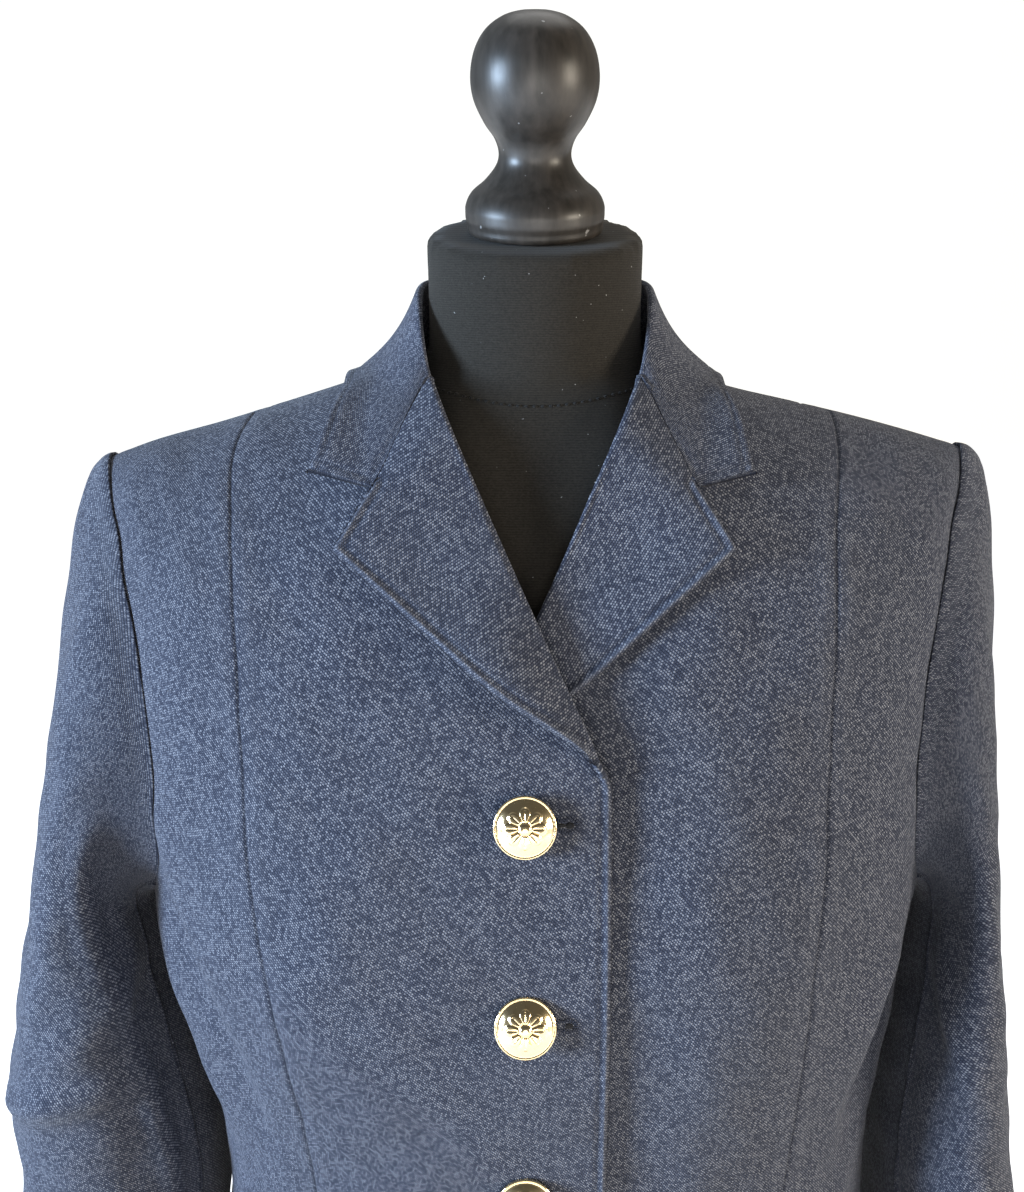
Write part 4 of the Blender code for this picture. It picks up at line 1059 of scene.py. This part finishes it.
def spunMesh(profile, steps, finer=1):  # with a soft curve through the rows of its profile
    radius, height = profile["radius"], profile["height"]
    if finer > 1:
        spots = np.arange(len(radius), dtype=float)
        fine = np.linspace(0, len(radius) - 1, (len(radius) - 1) * finer + 1)
        rounded = {"at": spots, "radius": radius, "height": height}
        radius, height = (smooth(rounded, "at", key, fine) for key in ("radius", "height"))
        radius = np.clip(radius, 0, profile["radius"].max())
        radius[0] = radius[-1] = 0
    shape = bmesh.new()
    line = [shape.verts.new((r, 0, z)) for r, z in zip(radius, height)]
    edges = [shape.edges.new(pair) for pair in zip(line, line[1:])]
    turn = {"angle": math.tau, "steps": steps, "use_merge": True}
    bmesh.ops.spin(shape, geom=line + edges, cent=(0, 0, 0), axis=(0, 0, 1), **turn)
    bmesh.ops.remove_doubles(shape, verts=shape.verts, dist=1e-6)
    bmesh.ops.recalc_face_normals(shape, faces=shape.faces)
    if shape.calc_volume(signed=True) < 0:
        bmesh.ops.reverse_faces(shape, faces=shape.faces)
    return shape


def rosette(radius, turn):  # low petals round a boss, pressed into the dome
    halfTurn = turn * buttonCut["petals"] / 2
    around = abs(math.cos(halfTurn))
    least, further = buttonCut["petalReach"]
    reach = least + further * around ** buttonCut["petalTip"]
    petal = 1 / (1 + math.exp((radius - reach) / buttonCut["petalSoft"]))
    cleft = bell(around * radius, 0, buttonCut["cleftWidth"]) * (radius > buttonCut["cleftFrom"])
    inner, outer = buttonCut["veinSpan"]
    vein = bell(math.sin(halfTurn) * radius, 0, buttonCut["veinWidth"]) * (inner < radius < outer)
    boss = math.exp(-((radius / buttonCut["boss"]) ** 4))
    boss = boss - buttonCut["ringDepth"] * bell(radius, buttonCut["ringAt"], buttonCut["ringWidth"])
    height = petal * buttonCut["petalShare"] * (1 - buttonCut["cleftDepth"] * cleft)
    height = height - buttonCut["veinDepth"] * vein * petal + boss * buttonCut["bossShare"]
    return buttonCut["petalHeight"] * height


def button(number, drop):
    place = onFront(buttonCut["across"], drop, right)
    point, normal = torso(*place), torsoNormal(*place)
    shape = spunMesh(buttonRows, buttonCut["steps"], buttonCut["finer"])
    relief = shape.verts.layers.float.new("relief")
    (domeRadius, domeHeight), (rimRadius, rimHeight) = buttonCut["dome"], buttonCut["rim"]
    for vertex in shape.verts:
        radius, turn = math.hypot(vertex.co.x, vertex.co.y), math.atan2(vertex.co.y, vertex.co.x)
        if radius < domeRadius and vertex.co.z > domeHeight:
            height = rosette(radius, turn)
            vertex.co.z += height
            vertex[relief] = max(-height / buttonCut["petalHeight"], 0)
        elif radius > rimRadius and vertex.co.z > rimHeight:
            vertex.co.z += buttonCut["beadHeight"] * math.cos(turn * buttonCut["beads"])
    facing = (Vector(normal) + Vector((0, 0, buttonCut["tiltUp"][number - 1]))).normalized()
    turn = facing.to_track_quat("Z", "Y").to_matrix().to_4x4()
    shape.transform(Matrix.Translation(shoulders + Vector(point)) @ turn)
    name = f"gilt_button_{number}"
    mesh = finishMesh(name, shape, sharp=60)
    placed(name, mesh, materials["gilt"], [f"button_{number}"])


holeCut = {
    "from": -0.0060,  # across, from the hidden end to the eye
    "to": 0.0140,
    "slot": 0.0010,  # half height of the slit
    "pitch": 0.0009,
    "stitch": 0.0021,
    "wobble": 0.00008,
    "thread": (0.00036, 0.0006),  # width and height of a stitch
    "lift": 0.00035,
    "eye": 0.0019,
    "eyeTurn": 0.74,  # share of the eye's round that is stitched
    "eyeStitches": 15,
    "eyeThread": (0.00038, 0.0006),
    "slitLift": 0.00012,
    "slitHeight": 0.0002,
    "slitWide": 2.4,  # the near-black slit, painted shade inside the hole, in half heights of the slot, and in radii of the eye
    "slitEye": (1.9, 1.5),
}


def stitchInto(shape, middle, along, out, size):
    made = bmesh.ops.create_uvsphere(shape, u_segments=8, v_segments=4, radius=1)["verts"]
    side = out.cross(along).normalized()
    frameOf = Matrix((along.normalized(), side, out)).transposed().to_4x4()
    scale = Matrix.Diagonal((size[0] / 2, size[1] / 2, size[2] / 2, 1))
    bmesh.ops.transform(shape, matrix=Matrix.Translation(middle) @ frameOf @ scale, verts=made)


def onRightFront(x, drop, lift):
    place = onFront(np.asarray(-x), np.asarray(drop), right)
    return shoulders + Vector(torso(place[0], place[1], np.asarray(lift)))


def buttonhole(number, drop):
    thread, slit = bmesh.new(), bmesh.new()
    x, end, eye, stitch, lift = (holeCut[key] for key in ("from", "to", "eye", "stitch", "lift"))
    length, reach = end - x, holeCut["slot"] + stitch / 2
    out = Vector(torsoNormal(*onFront(-end, drop, right)))
    while x < end - eye:
        for sign in (1, -1):
            wobble = random.uniform(-holeCut["wobble"], holeCut["wobble"])
            high, low = onRightFront(x, drop + sign * reach, lift), onRightFront(x, drop, lift)
            stitchInto(thread, high, high - low, out, (stitch + wobble, *holeCut["thread"]))
        x += holeCut["pitch"]
    centre, reach = onRightFront(end, drop, lift), eye + stitch / 2
    widest = math.pi * holeCut["eyeTurn"]
    for turn in np.linspace(-widest, widest, holeCut["eyeStitches"]):
        spot = onRightFront(end + reach * math.cos(turn), drop + reach * math.sin(turn), lift)
        stitchInto(thread, spot, spot - centre, out, (stitch, *holeCut["eyeThread"]))
    eyeLong, eyeWide = (eye * times for times in holeCut["slitEye"])
    straight = (end - length / 2, length, holeCut["slot"] * holeCut["slitWide"])
    # a near-black sheet in the slit and the eye: painted shade for the inside of the hole
    for across, long, wide in ((end, eyeLong, eyeWide), straight):
        centre = onRightFront(across, drop, holeCut["slitLift"])
        stitchInto(slit, centre, Vector((1, 0, 0)), out, (long, wide, holeCut["slitHeight"]))
    for kind, shape, material in (("hole_stitches", thread, "thread"), ("hole_slit_shade", slit, "shadow")):
        name = f"{kind}_{number}"
        placed(name, finishMesh(name, shape), materials[material], [])


# Dress form and stand: how far the form lies inside the cloth, and the profiles of what is turned.
formInset = table(
    "fall front side",
    (0.00, 0.0048, 0.0048),
    (0.03, 0.0060, 0.0058),
    (0.08, 0.0104, 0.0084),
    (0.25, 0.0120, 0.0110),
    (0.45, 0.0110, 0.0110),
    (0.75, 0.0090, 0.0090),
)
formCut = {
    "frontAngles": (38, 78),
    "drop": 0.630,
    "half": 0.1965,
    "lean": math.radians(13),
    "plate": 0.101,
    "neckY": -0.0068,
    "columns": 96,
    "rows": 60,
    "rowPower": 1.15,
    "neckSteps": 96,
    "neckFiner": 3,
    "voxel": 0.0036,
    "smoothing": 0.5,
    "smoothings": 3,
    "dashes": 104,
    "dashRadius": 0.058,
    "dashLevel": -0.063,
    "dashLift": 0.0002,
    "dash": (0.0021, 0.0014, 0.0010),
}
formNeckRows = table(
    "radius height",
    (0.0000, 0.0000),
    (0.0300, 0.0000),
    (0.0460, 0.0003),
    (0.0486, -0.0008),
    (0.0488, -0.0050),
    (0.0488, -0.0240),
    (0.0494, -0.0460),
    (0.0520, -0.0660),
    (0.0550, -0.0880),
    (0.0000, -0.0880),
)
finialRows = table(
    "radius height",
    (0.0000, 0.0924),
    (0.0065, 0.0922),
    (0.0140, 0.0900),
    (0.0212, 0.0848),
    (0.0260, 0.0766),
    (0.0278, 0.0665),
    (0.0266, 0.0570),
    (0.0222, 0.0476),
    (0.0178, 0.0412),
    (0.0160, 0.0350),
    (0.0174, 0.0295),
    (0.0225, 0.0232),
    (0.0285, 0.0180),
    (0.0312, 0.0120),
    (0.0306, 0.0055),
    (0.0270, 0.0003),
    (0.0000, 0.0003),
)
footRows = table(
    "radius height",
    (0.000, 0.0300),
    (0.030, 0.0300),
    (0.040, 0.0265),
    (0.060, 0.0225),
    (0.110, 0.0190),
    (0.142, 0.0160),
    (0.150, 0.0110),
    (0.150, 0.0030),
    (0.147, 0.0000),
    (0.000, 0.0000),
)
standCut = {
    "steps": 128,
    "finialFiner": 6,
    "footFiner": 3,
    "postRadius": 0.016,
    "chamfer": (0.0008, 0.0012),
}
plateCentre = shoulders + Vector((0, formCut["neckY"], formCut["plate"]))
leaned = Matrix.Translation(plateCentre) @ Matrix.Rotation(formCut["lean"], 4, "X")


def formPoints(columns, rows):
    angle, share = np.meshgrid(np.linspace(-180, 180, columns + 1), np.linspace(0, 1, rows + 1))
    fall = fallOf(angle, formCut["drop"]) * share ** formCut["rowPower"]
    front = 1 - stepUp(*formCut["frontAngles"], np.abs(angle))
    inset = {key: smooth(formInset, "fall", key, fall) for key in ("front", "side")}
    lift = -(inset["side"] + (inset["front"] - inset["side"]) * front)
    points = torsoPlain(angle, fall) + torsoNormal(angle, fall) * lift[..., None]
    points[..., 0] = np.clip(points[..., 0], -formCut["half"], formCut["half"])
    points[0, :, 1] = 0
    return points


def dressForm():
    shape = bmesh.new()
    columns, rows = formCut["columns"], formCut["rows"]
    points = formPoints(columns, rows)
    bmesh.ops.create_grid(shape, x_segments=columns, y_segments=rows, size=1)
    for vertex in shape.verts:
        row, column = round((1 - vertex.co.y) / 2 * rows), round((vertex.co.x + 1) / 2 * columns)
        vertex.co = shoulders + Vector(points[row, column])
    bmesh.ops.remove_doubles(shape, verts=shape.verts, dist=1e-6)
    bmesh.ops.holes_fill(shape, edges=[edge for edge in shape.edges if edge.is_boundary])
    bmesh.ops.recalc_face_normals(shape, faces=shape.faces)
    neck = spunMesh(formNeckRows, formCut["neckSteps"], formCut["neckFiner"])
    neck.transform(leaned)
    spare = bpy.data.meshes.new("neck")
    neck.to_mesh(spare)
    neck.free()
    shape.from_mesh(spare)
    bpy.data.meshes.remove(spare)
    mesh = finishMesh("jersey_form", shape)
    piece = placed("jersey_form", mesh, materials["jersey"], ["form_body"])
    voxels = piece.modifiers.new("voxels", "REMESH")
    voxels.mode = "VOXEL"
    voxels.voxel_size = formCut["voxel"]
    soft = piece.modifiers.new("soft", "SMOOTH")
    soft.factor, soft.iterations = formCut["smoothing"], formCut["smoothings"]
    graph = bpy.context.evaluated_depsgraph_get()
    made = bpy.data.meshes.new_from_object(piece.evaluated_get(graph))
    piece.modifiers.clear()
    piece.data = made
    made.shade_smooth()
    if not made.materials:
        made.materials.append(materials["jersey"])
    print("dress form:", len(made.polygons), "faces")
    return piece


def neckSeam(form):
    tree = BVHTree.FromObject(form, bpy.context.evaluated_depsgraph_get())
    shape = bmesh.new()
    spots = []
    count, radius = formCut["dashes"], formCut["dashRadius"]
    for i in range(count):
        turn = math.tau * i / count
        start = Vector((radius * math.cos(turn), radius * math.sin(turn), formCut["dashLevel"]))
        spots.append(tree.find_nearest(leaned @ start)[:2])
    for i, (spot, normal) in enumerate(spots):
        along = spots[(i + 1) % count][0] - spots[i - 1][0]
        stitchInto(shape, spot + normal * formCut["dashLift"], along, normal, formCut["dash"])
    mesh = finishMesh("neck_seam_stitches", shape)
    placed("neck_seam_stitches", mesh, materials["darkThread"], [])


def turnedWood(node, profile, place, finer=1):
    name = "turned_" + node
    shape = spunMesh(profile, standCut["steps"], finer)
    shape.transform(place)
    placed(name, finishMesh(name, shape, sharp=40), materials["wood"], [node])


def stand():
    upright = Matrix.Translation((shoulders.x, 0, 0))
    turnedWood("finial", finialRows, leaned, standCut["finialFiner"])
    turnedWood("foot", footRows, upright, standCut["footFiner"])
    low, high = footRows["height"][0] + wool["seamGap"], shoulders.z - formCut["drop"] - wool["seamGap"]
    radius, (inward, upward) = standCut["postRadius"], standCut["chamfer"]
    post = table(
        "radius height",
        (0, high),
        (radius - inward, high),
        (radius, high - upward),
        (radius, low + upward),
        (radius - inward, low),
        (0, low),
    )
    turnedWood("post", post, upright)


colours = {
    "threadDark": (0.005, 0.008, 0.020),
    "thread": (0.066, 0.076, 0.115),
    "threadLight": (0.380, 0.396, 0.450),
    # paler colour of the painted highlight, with wear, on pressed edges and ridges
    "worn": (0.230, 0.250, 0.310),
    # near-black colour of the painted shade in seams, grooves and edge dips
    "paintedShade": (0.008, 0.010, 0.020),
    "jerseyDark": (0.016, 0.0142, 0.0122),
    "jersey": (0.040, 0.036, 0.030),
    "cloud": (0.105, 0.118, 0.148),
    "lint": (0.55, 0.55, 0.55),
    "gilt": (0.97, 0.77, 0.45),
    "giltDark": (0.30, 0.17, 0.06),
    "wood": (0.022, 0.019, 0.016),
    "woodWorn": (0.060, 0.051, 0.044),
    "floor": (0.86, 0.86, 0.86),
}


class Nodes:  # a material's node tree and the few steps that all finishes are made of
    def __init__(self, name):
        self.material = bpy.data.materials.new(name)
        self.material.use_nodes = True
        self.tree = self.material.node_tree
        self.shader = self.tree.nodes["Principled BSDF"]

    def add(self, kind, settings=None, **inputs):
        node = self.tree.nodes.new("ShaderNode" + kind)
        for key, value in (settings or {}).items():
            setattr(node, key, value)
        for key, value in inputs.items():
            self.put(node, key, value)
        return node

    def put(self, node, key, value):
        socket = node.inputs[int(key[1:])] if key[0] == "n" and key[1:].isdigit() else node.inputs[key]
        if isinstance(value, bpy.types.NodeSocket):
            self.tree.links.new(value, socket)
        else:
            socket.default_value = (*value, 1) if socket.type == "RGBA" else value

    def place(self):
        return self.add("TexCoord").outputs["Object"]

    def mapped(self, source, scale, rotation=(0, 0, 0)):
        return self.add("Mapping", None, Vector=source, Scale=scale, Rotation=rotation).outputs[0]

    def noise(self, source, scale, detail=2.0, roughness=0.5):
        if isinstance(scale, tuple):
            source, scale = self.mapped(source, scale), 1.0
        look = {"Scale": scale, "Detail": detail, "Roughness": roughness}
        return self.add("TexNoise", None, Vector=source, **look).outputs["Fac"]

    def math(self, operation, first, second=0.0, third=0.0, clamp=False):
        settings = {"operation": operation, "use_clamp": clamp}
        return self.add("Math", settings, n0=first, n1=second, n2=third).outputs[0]

    def times(self, value, by, clamp=False):
        return self.math("MULTIPLY", value, by, clamp=clamp)

    def timesAdd(self, value, by, plus):
        return self.math("MULTIPLY_ADD", value, by, plus)

    def ramp(self, source, *stops):
        node = self.add("ValToRGB", None, Fac=source)
        band = node.color_ramp
        while len(band.elements) < len(stops):
            band.elements.new(0.5)
        for element, (at, colour) in zip(band.elements, stops):
            element.position = at
            element.color = (*colour, 1)
        return node.outputs[0]

    def rise(self, source, low, high, most):  # 0 below low, most above high
        return self.ramp(source, (low, (0.0, 0.0, 0.0)), (high, (most, most, most)))

    def mix(self, share, under, over):
        node = self.add("Mix", {"data_type": "RGBA"}, n0=share, n6=under, n7=over)
        return node.outputs[2]

    def bump(self, height, distance, strength=1.0):
        return self.add("Bump", None, Height=height, Distance=distance, Strength=strength).outputs[0]

    def finish(self, **inputs):
        for key, value in inputs.items():
            self.put(self.shader, key.replace("_", " "), value)
        return self.material


clothLook = {
    "ribPitch": 0.00104,  # metres from one twill line to the next
    "ribSlope": math.radians(-45),
    "ribWander": 0.5,
    "rowShift": 0.5,  # each line's flecks lie half a step further on than the last one's
    "fleckPitch": 0.00104,  # metres from one fleck of dyed yarn to the next
    "fleckWander": 0.7,
    "fleck": 0.72,  # how far the flecks differ
    "fleckPower": 1.15,
    "threadTone": 0.75,  # shares of the thread, its fibres and its slubs in the tone
    "fibreTone": 0.22,
    "slubTone": 0.10,
    "stops": (0.14, 0.40, 0.90),  # tones of the dark, middle and light colour
    "cloud": 0.10,
    "lint": 0.4,
    "bumpHeight": 0.00022,
    "roughness": 0.88,
    "sheen": 0.12,
    "edgeWearAndHighlight": 0.17,  # how much paler pressed edges and ridges are, painted highlight with wear, and how much darker seams are, painted shade
    "paintedSeamShade": 0.55,
}


def woolMaterial():
    nodes = Nodes("navy_twill")
    grain = nodes.add("UVMap", {"uv_map": "grain"}).outputs[0]
    turned = nodes.mapped(grain, (1, 1, 1), (0, 0, clothLook["ribSlope"]))
    wander = nodes.noise(turned, (300, 300, 1))
    x, y = nodes.add("SeparateXYZ", None, Vector=turned).outputs[:2]
    across = nodes.timesAdd(x, 1 / clothLook["ribPitch"], nodes.times(wander, clothLook["ribWander"]))
    row = nodes.math("FLOOR", across)
    along = nodes.timesAdd(y, 1 / clothLook["fleckPitch"], nodes.times(row, clothLook["rowShift"]))
    along = nodes.math("ADD", along, nodes.times(wander, clothLook["fleckWander"]))
    cell = nodes.add("CombineXYZ", None, X=row, Y=nodes.math("FLOOR", along)).outputs[0]
    dyed = nodes.add("TexWhiteNoise", {"noise_dimensions": "2D"}, Vector=cell).outputs["Value"]
    parts = [nodes.times(nodes.math("FRACT", way), math.pi) for way in (across, along)]
    rib, cover = (nodes.math("SINE", part) for part in parts)
    thread = nodes.times(rib, nodes.math("POWER", cover, 0.6))
    fibre = nodes.noise(turned, (2600, 1500, 1), 3.0, 0.65)
    slub = nodes.noise(turned, (330, 140, 1), 2.0, 0.6)
    dyed = nodes.math("POWER", dyed, clothLook["fleckPower"])
    dyed = nodes.timesAdd(dyed, clothLook["fleck"], 1 - clothLook["fleck"])
    tone = nodes.times(fibre, clothLook["fibreTone"])
    tone = nodes.timesAdd(nodes.times(thread, dyed), clothLook["threadTone"], tone)
    tone = nodes.math("ADD", tone, nodes.times(slub, clothLook["slubTone"]))
    tones = [colours[key] for key in ("threadDark", "thread", "threadLight")]
    colour = nodes.ramp(tone, *zip(clothLook["stops"], tones))
    cloud = nodes.noise(grain, (16, 10, 1), 3.0, 0.6)
    colour = nodes.mix(nodes.rise(cloud, 0.35, 0.70, clothLook["cloud"]), colour, colours["cloud"])
    lint = nodes.noise(grain, (420, 330, 1), 1.0)
    colour = nodes.mix(nodes.rise(lint, 0.815, 0.83, clothLook["lint"]), colour, colours["lint"])
    pressed = nodes.add("Attribute", {"attribute_name": "pressed"}).outputs["Fac"]
    # painted highlight with wear: ridges and pressed edges lighten towards a paler colour
    colour = nodes.mix(nodes.times(pressed, clothLook["edgeWearAndHighlight"], True), colour, colours["worn"])
    # painted shade: seams, grooves and edge dips darken towards a near-black colour
    colour = nodes.mix(nodes.times(pressed, -clothLook["paintedSeamShade"], True), colour, colours["paintedShade"])
    height = nodes.timesAdd(thread, 0.8, nodes.times(fibre, 0.5))
    return nodes.finish(
        Base_Color=colour,
        Roughness=clothLook["roughness"],
        Normal=nodes.bump(height, clothLook["bumpHeight"], 0.7),
        Sheen_Weight=clothLook["sheen"],
        Sheen_Roughness=0.45,
        Specular_IOR_Level=0.18,
    )


def threadMaterial(name, dark, light):
    nodes = Nodes(name)
    place = nodes.place()
    return nodes.finish(
        Base_Color=nodes.ramp(nodes.noise(place, 2600), (0.35, dark), (0.65, light)),
        Roughness=0.7,
        Normal=nodes.bump(nodes.noise(place, 5200, 1.0), 0.00008, 0.6),
        Sheen_Weight=0.15,
        Specular_IOR_Level=0.25,
    )


jerseyLook = {"ribPitch": 0.0010, "ribWander": 3.0, "stops": (0.28, 0.68), "lint": 0.6, "sheen": 0.08}


def jerseyMaterial():
    nodes = Nodes("black_jersey")
    place = nodes.place()
    height = nodes.add("SeparateXYZ", None, Vector=place).outputs["Z"]
    wander = nodes.times(nodes.noise(place, (90, 90, 320)), jerseyLook["ribWander"])
    phase = nodes.math("ADD", nodes.times(height, math.tau / jerseyLook["ribPitch"]), wander)
    rib = nodes.timesAdd(nodes.math("SINE", phase), 0.5, 0.5)
    fuzz = nodes.noise(place, (900, 900, 1500), 3.0, 0.65)
    tone = nodes.timesAdd(rib, 0.14, nodes.times(fuzz, 0.8))
    colour = nodes.ramp(tone, *zip(jerseyLook["stops"], (colours["jerseyDark"], colours["jersey"])))
    lint = nodes.noise(place, (520, 520, 520), 1.0)
    colour = nodes.mix(nodes.rise(lint, 0.79, 0.81, jerseyLook["lint"]), colour, colours["lint"])
    return nodes.finish(
        Base_Color=colour,
        Roughness=0.9,
        Normal=nodes.bump(nodes.timesAdd(rib, 0.35, nodes.times(fuzz, 0.6)), 0.00025, 0.7),
        Sheen_Weight=jerseyLook["sheen"],
        Specular_IOR_Level=0.2,
    )


giltLook = {"patina": 0.25, "hollows": 1.6, "smoothest": 0.07, "rougher": 0.14}


def giltMaterial():
    nodes = Nodes("gilt")
    place = nodes.place()
    patina, grime = nodes.noise(place, 420, 3.0, 0.6), nodes.noise(place, 160, 3.0, 0.6)
    aged = nodes.rise(patina, 0.55, 0.80, giltLook["patina"])
    hollow = nodes.add("Attribute", {"attribute_name": "relief"}).outputs["Fac"]
    colour = nodes.mix(aged, colours["gilt"], colours["giltDark"])
    colour = nodes.mix(nodes.times(hollow, giltLook["hollows"], True), colour, colours["giltDark"])
    rough = nodes.timesAdd(grime, giltLook["rougher"], giltLook["smoothest"])
    return nodes.finish(
        Base_Color=colour, Roughness=rough, Metallic=1.0, Normal=nodes.bump(patina, 0.00006, 0.5)
    )


woodLook = {"specks": 0.5, "smoothest": 0.28, "rougher": 0.20}


def woodMaterial():
    nodes = Nodes("black_stained_wood")
    place = nodes.place()
    grain = nodes.noise(place, (160, 160, 22), 4.0, 0.6)
    worn = nodes.noise(place, (60, 60, 60), 3.0, 0.6)
    specks = nodes.rise(nodes.noise(place, 300, 1.0), 0.77, 0.79, woodLook["specks"])
    colour = nodes.ramp(grain, (0.35, colours["wood"]), (0.75, colours["woodWorn"]))
    return nodes.finish(
        Base_Color=nodes.mix(specks, colour, colours["lint"]),
        Roughness=nodes.timesAdd(worn, woodLook["rougher"], woodLook["smoothest"]),
        Normal=nodes.bump(grain, 0.00015, 0.5),
        Specular_IOR_Level=0.5,
    )


def floorMaterial():
    nodes = Nodes("studio_floor")
    darker = tuple(value * 0.97 for value in colours["floor"])
    return nodes.finish(
        Base_Color=nodes.ramp(nodes.noise(nodes.place(), 6), (0.3, darker), (0.7, colours["floor"])),
        Roughness=0.9,
        Emission_Color=(1, 1, 1),
        Emission_Strength=studio["floorGlow"],
    )


studio = {
    "camera": (0.009, -0.618, 0.855),
    "tilt": math.radians(76),
    "frame": (1024, 1192),  # pixels
    "focus": 1306,  # lens length and picture's middle in the same pixels
    "middle": 535,
    "sensor": 36,
    "wall": 1.12,  # brightness of the backdrop to the camera, and the light it casts
    "wallLight": 0.28,
    "room": 0.29,  # and on the side of the camera, low down and overhead
    "ceiling": 0.10,
    "coolSide": (0.90, 0.96, 1.0),
    "warmSide": (1.0, 0.95, 0.86),
    "floorGlow": 0.85,
}
lamps = (  # name, place, target, size, power, colour
    ("window", (-2.45, -1.05, 0.90), (0.0, 0.0, 0.45), 1.0, 138, (0.59, 0.77, 1.0)),
    ("fill", (2.1, -1.0, 0.85), (0.0, 0.0, 0.45), 0.8, 34, (1.0, 0.89, 0.73)),
    ("bounce", (0.1, -2.2, 0.10), (0.0, 0.0, 0.50), 1.6, 22, (1.0, 0.95, 0.88)),
    ("top", (0.1, 0.7, 2.4), (0.0, 0.0, 0.7), 1.4, 8, (1.0, 0.99, 0.97)),
)


def studioFloor():
    shape = bmesh.new()
    bmesh.ops.create_grid(shape, x_segments=8, y_segments=8, size=6)
    mesh = finishMesh("studio_floor", shape)
    floor = bpy.data.objects.new("studio_floor", mesh)
    bpy.context.scene.collection.objects.link(floor)
    mesh.materials.append(materials["floor"])
    floor.visible_diffuse = False  # it shows white, but lights nothing from below


def ranged(tree, **limits):  # a node that maps one range of values to another
    node = tree.nodes.new("ShaderNodeMapRange")
    for key, value in limits.items():
        node.inputs[key.replace("_", " ")].default_value = value
    return node


def backdrop():
    world = bpy.data.worlds.new("studio")
    world.use_nodes = True
    tree = world.node_tree
    background, parts = tree.nodes["Background"], tree.nodes.new("ShaderNodeSeparateXYZ")
    heading = tree.nodes.new("ShaderNodeTexCoord").outputs["Generated"]
    cameraRay = tree.nodes.new("ShaderNodeLightPath").outputs["Is Camera Ray"]
    depth = ranged(tree, From_Min=-0.25, From_Max=0.20)
    depth.interpolation_type = "SMOOTHSTEP"
    seen = ranged(tree, To_Min=studio["wallLight"], To_Max=studio["wall"])
    overhead = ranged(tree, From_Min=0.1, From_Max=0.6, To_Min=studio["room"], To_Max=studio["ceiling"])
    side = ranged(tree, From_Min=-0.6, From_Max=0.6)
    tint = tree.nodes.new("ShaderNodeValToRGB")
    for element, key in zip(tint.color_ramp.elements, ("coolSide", "warmSide")):
        element.color = (*studio[key], 1)
    for first, second in (
        (heading, parts.inputs[0]),
        (parts.outputs["Y"], depth.inputs["Value"]),
        (parts.outputs["Z"], overhead.inputs["Value"]),
        (overhead.outputs[0], depth.inputs["To Min"]),
        (cameraRay, seen.inputs["Value"]),
        (seen.outputs[0], depth.inputs["To Max"]),
        (parts.outputs["X"], side.inputs["Value"]),
        (side.outputs[0], tint.inputs[0]),
        (tint.outputs[0], background.inputs["Color"]),
        (depth.outputs[0], background.inputs["Strength"]),
    ):
        tree.links.new(first, second)
    bpy.context.scene.world = world


def lights():
    for name, place, target, size, power, colour in lamps:
        light = bpy.data.lights.new(name, "AREA")
        light.shape = "DISK"
        light.size, light.energy, light.color = size, power, colour
        lamp = bpy.data.objects.new(name, light)
        lamp.location = place
        lamp.rotation_euler = (Vector(target) - Vector(place)).to_track_quat("-Z", "Y").to_euler()
        bpy.context.scene.collection.objects.link(lamp)


def camera():
    width, height = studio["frame"]
    view = bpy.data.cameras.new("view")
    view.sensor_fit = "VERTICAL"
    view.sensor_height = studio["sensor"]
    view.lens = studio["focus"] / height * studio["sensor"]
    view.shift_x = -(studio["middle"] - width / 2) / height
    eye = bpy.data.objects.new("view", view)
    eye.location = studio["camera"]
    eye.rotation_euler = (studio["tilt"], 0, 0)
    scene = bpy.context.scene
    scene.collection.objects.link(eye)
    scene.camera = eye
    scene.view_settings.view_transform = "Standard"


materials = {
    "wool": woolMaterial(),
    "thread": threadMaterial("navy_thread", (0.016, 0.021, 0.044), (0.060, 0.075, 0.125)),
    "darkThread": threadMaterial("black_thread", (0.004, 0.004, 0.004), (0.016, 0.015, 0.014)),
    # near-black sheet: painted shade inside the buttonholes
    "shadow": threadMaterial("painted_slit_shade", (0.003, 0.003, 0.005), (0.010, 0.011, 0.016)),
    "jersey": jerseyMaterial(),
    "gilt": giltMaterial(),
    "wood": woodMaterial(),
    "floor": floorMaterial(),
}
backdrop()
lights()
camera()
studioFloor()
print("light, floor and camera ready")
for side in (right, left):
    bodyPanels(side)
    lapel(side)
    sleeve(side)
    print("panels, lapel and sleeve cut for side", side)
collar(bodyTree())
print("collar laid")
for number, drop in enumerate(buttonCut["drops"], 1):
    button(number, drop)
    buttonhole(number, drop)
print("buttons and buttonholes made")
form = dressForm()
neckSeam(form)
stand()
print("dress form and stand made")
for name, width, length, area in cutSizes:
    print(f"{name}: cut {width} x {length} m, {area} square metres")
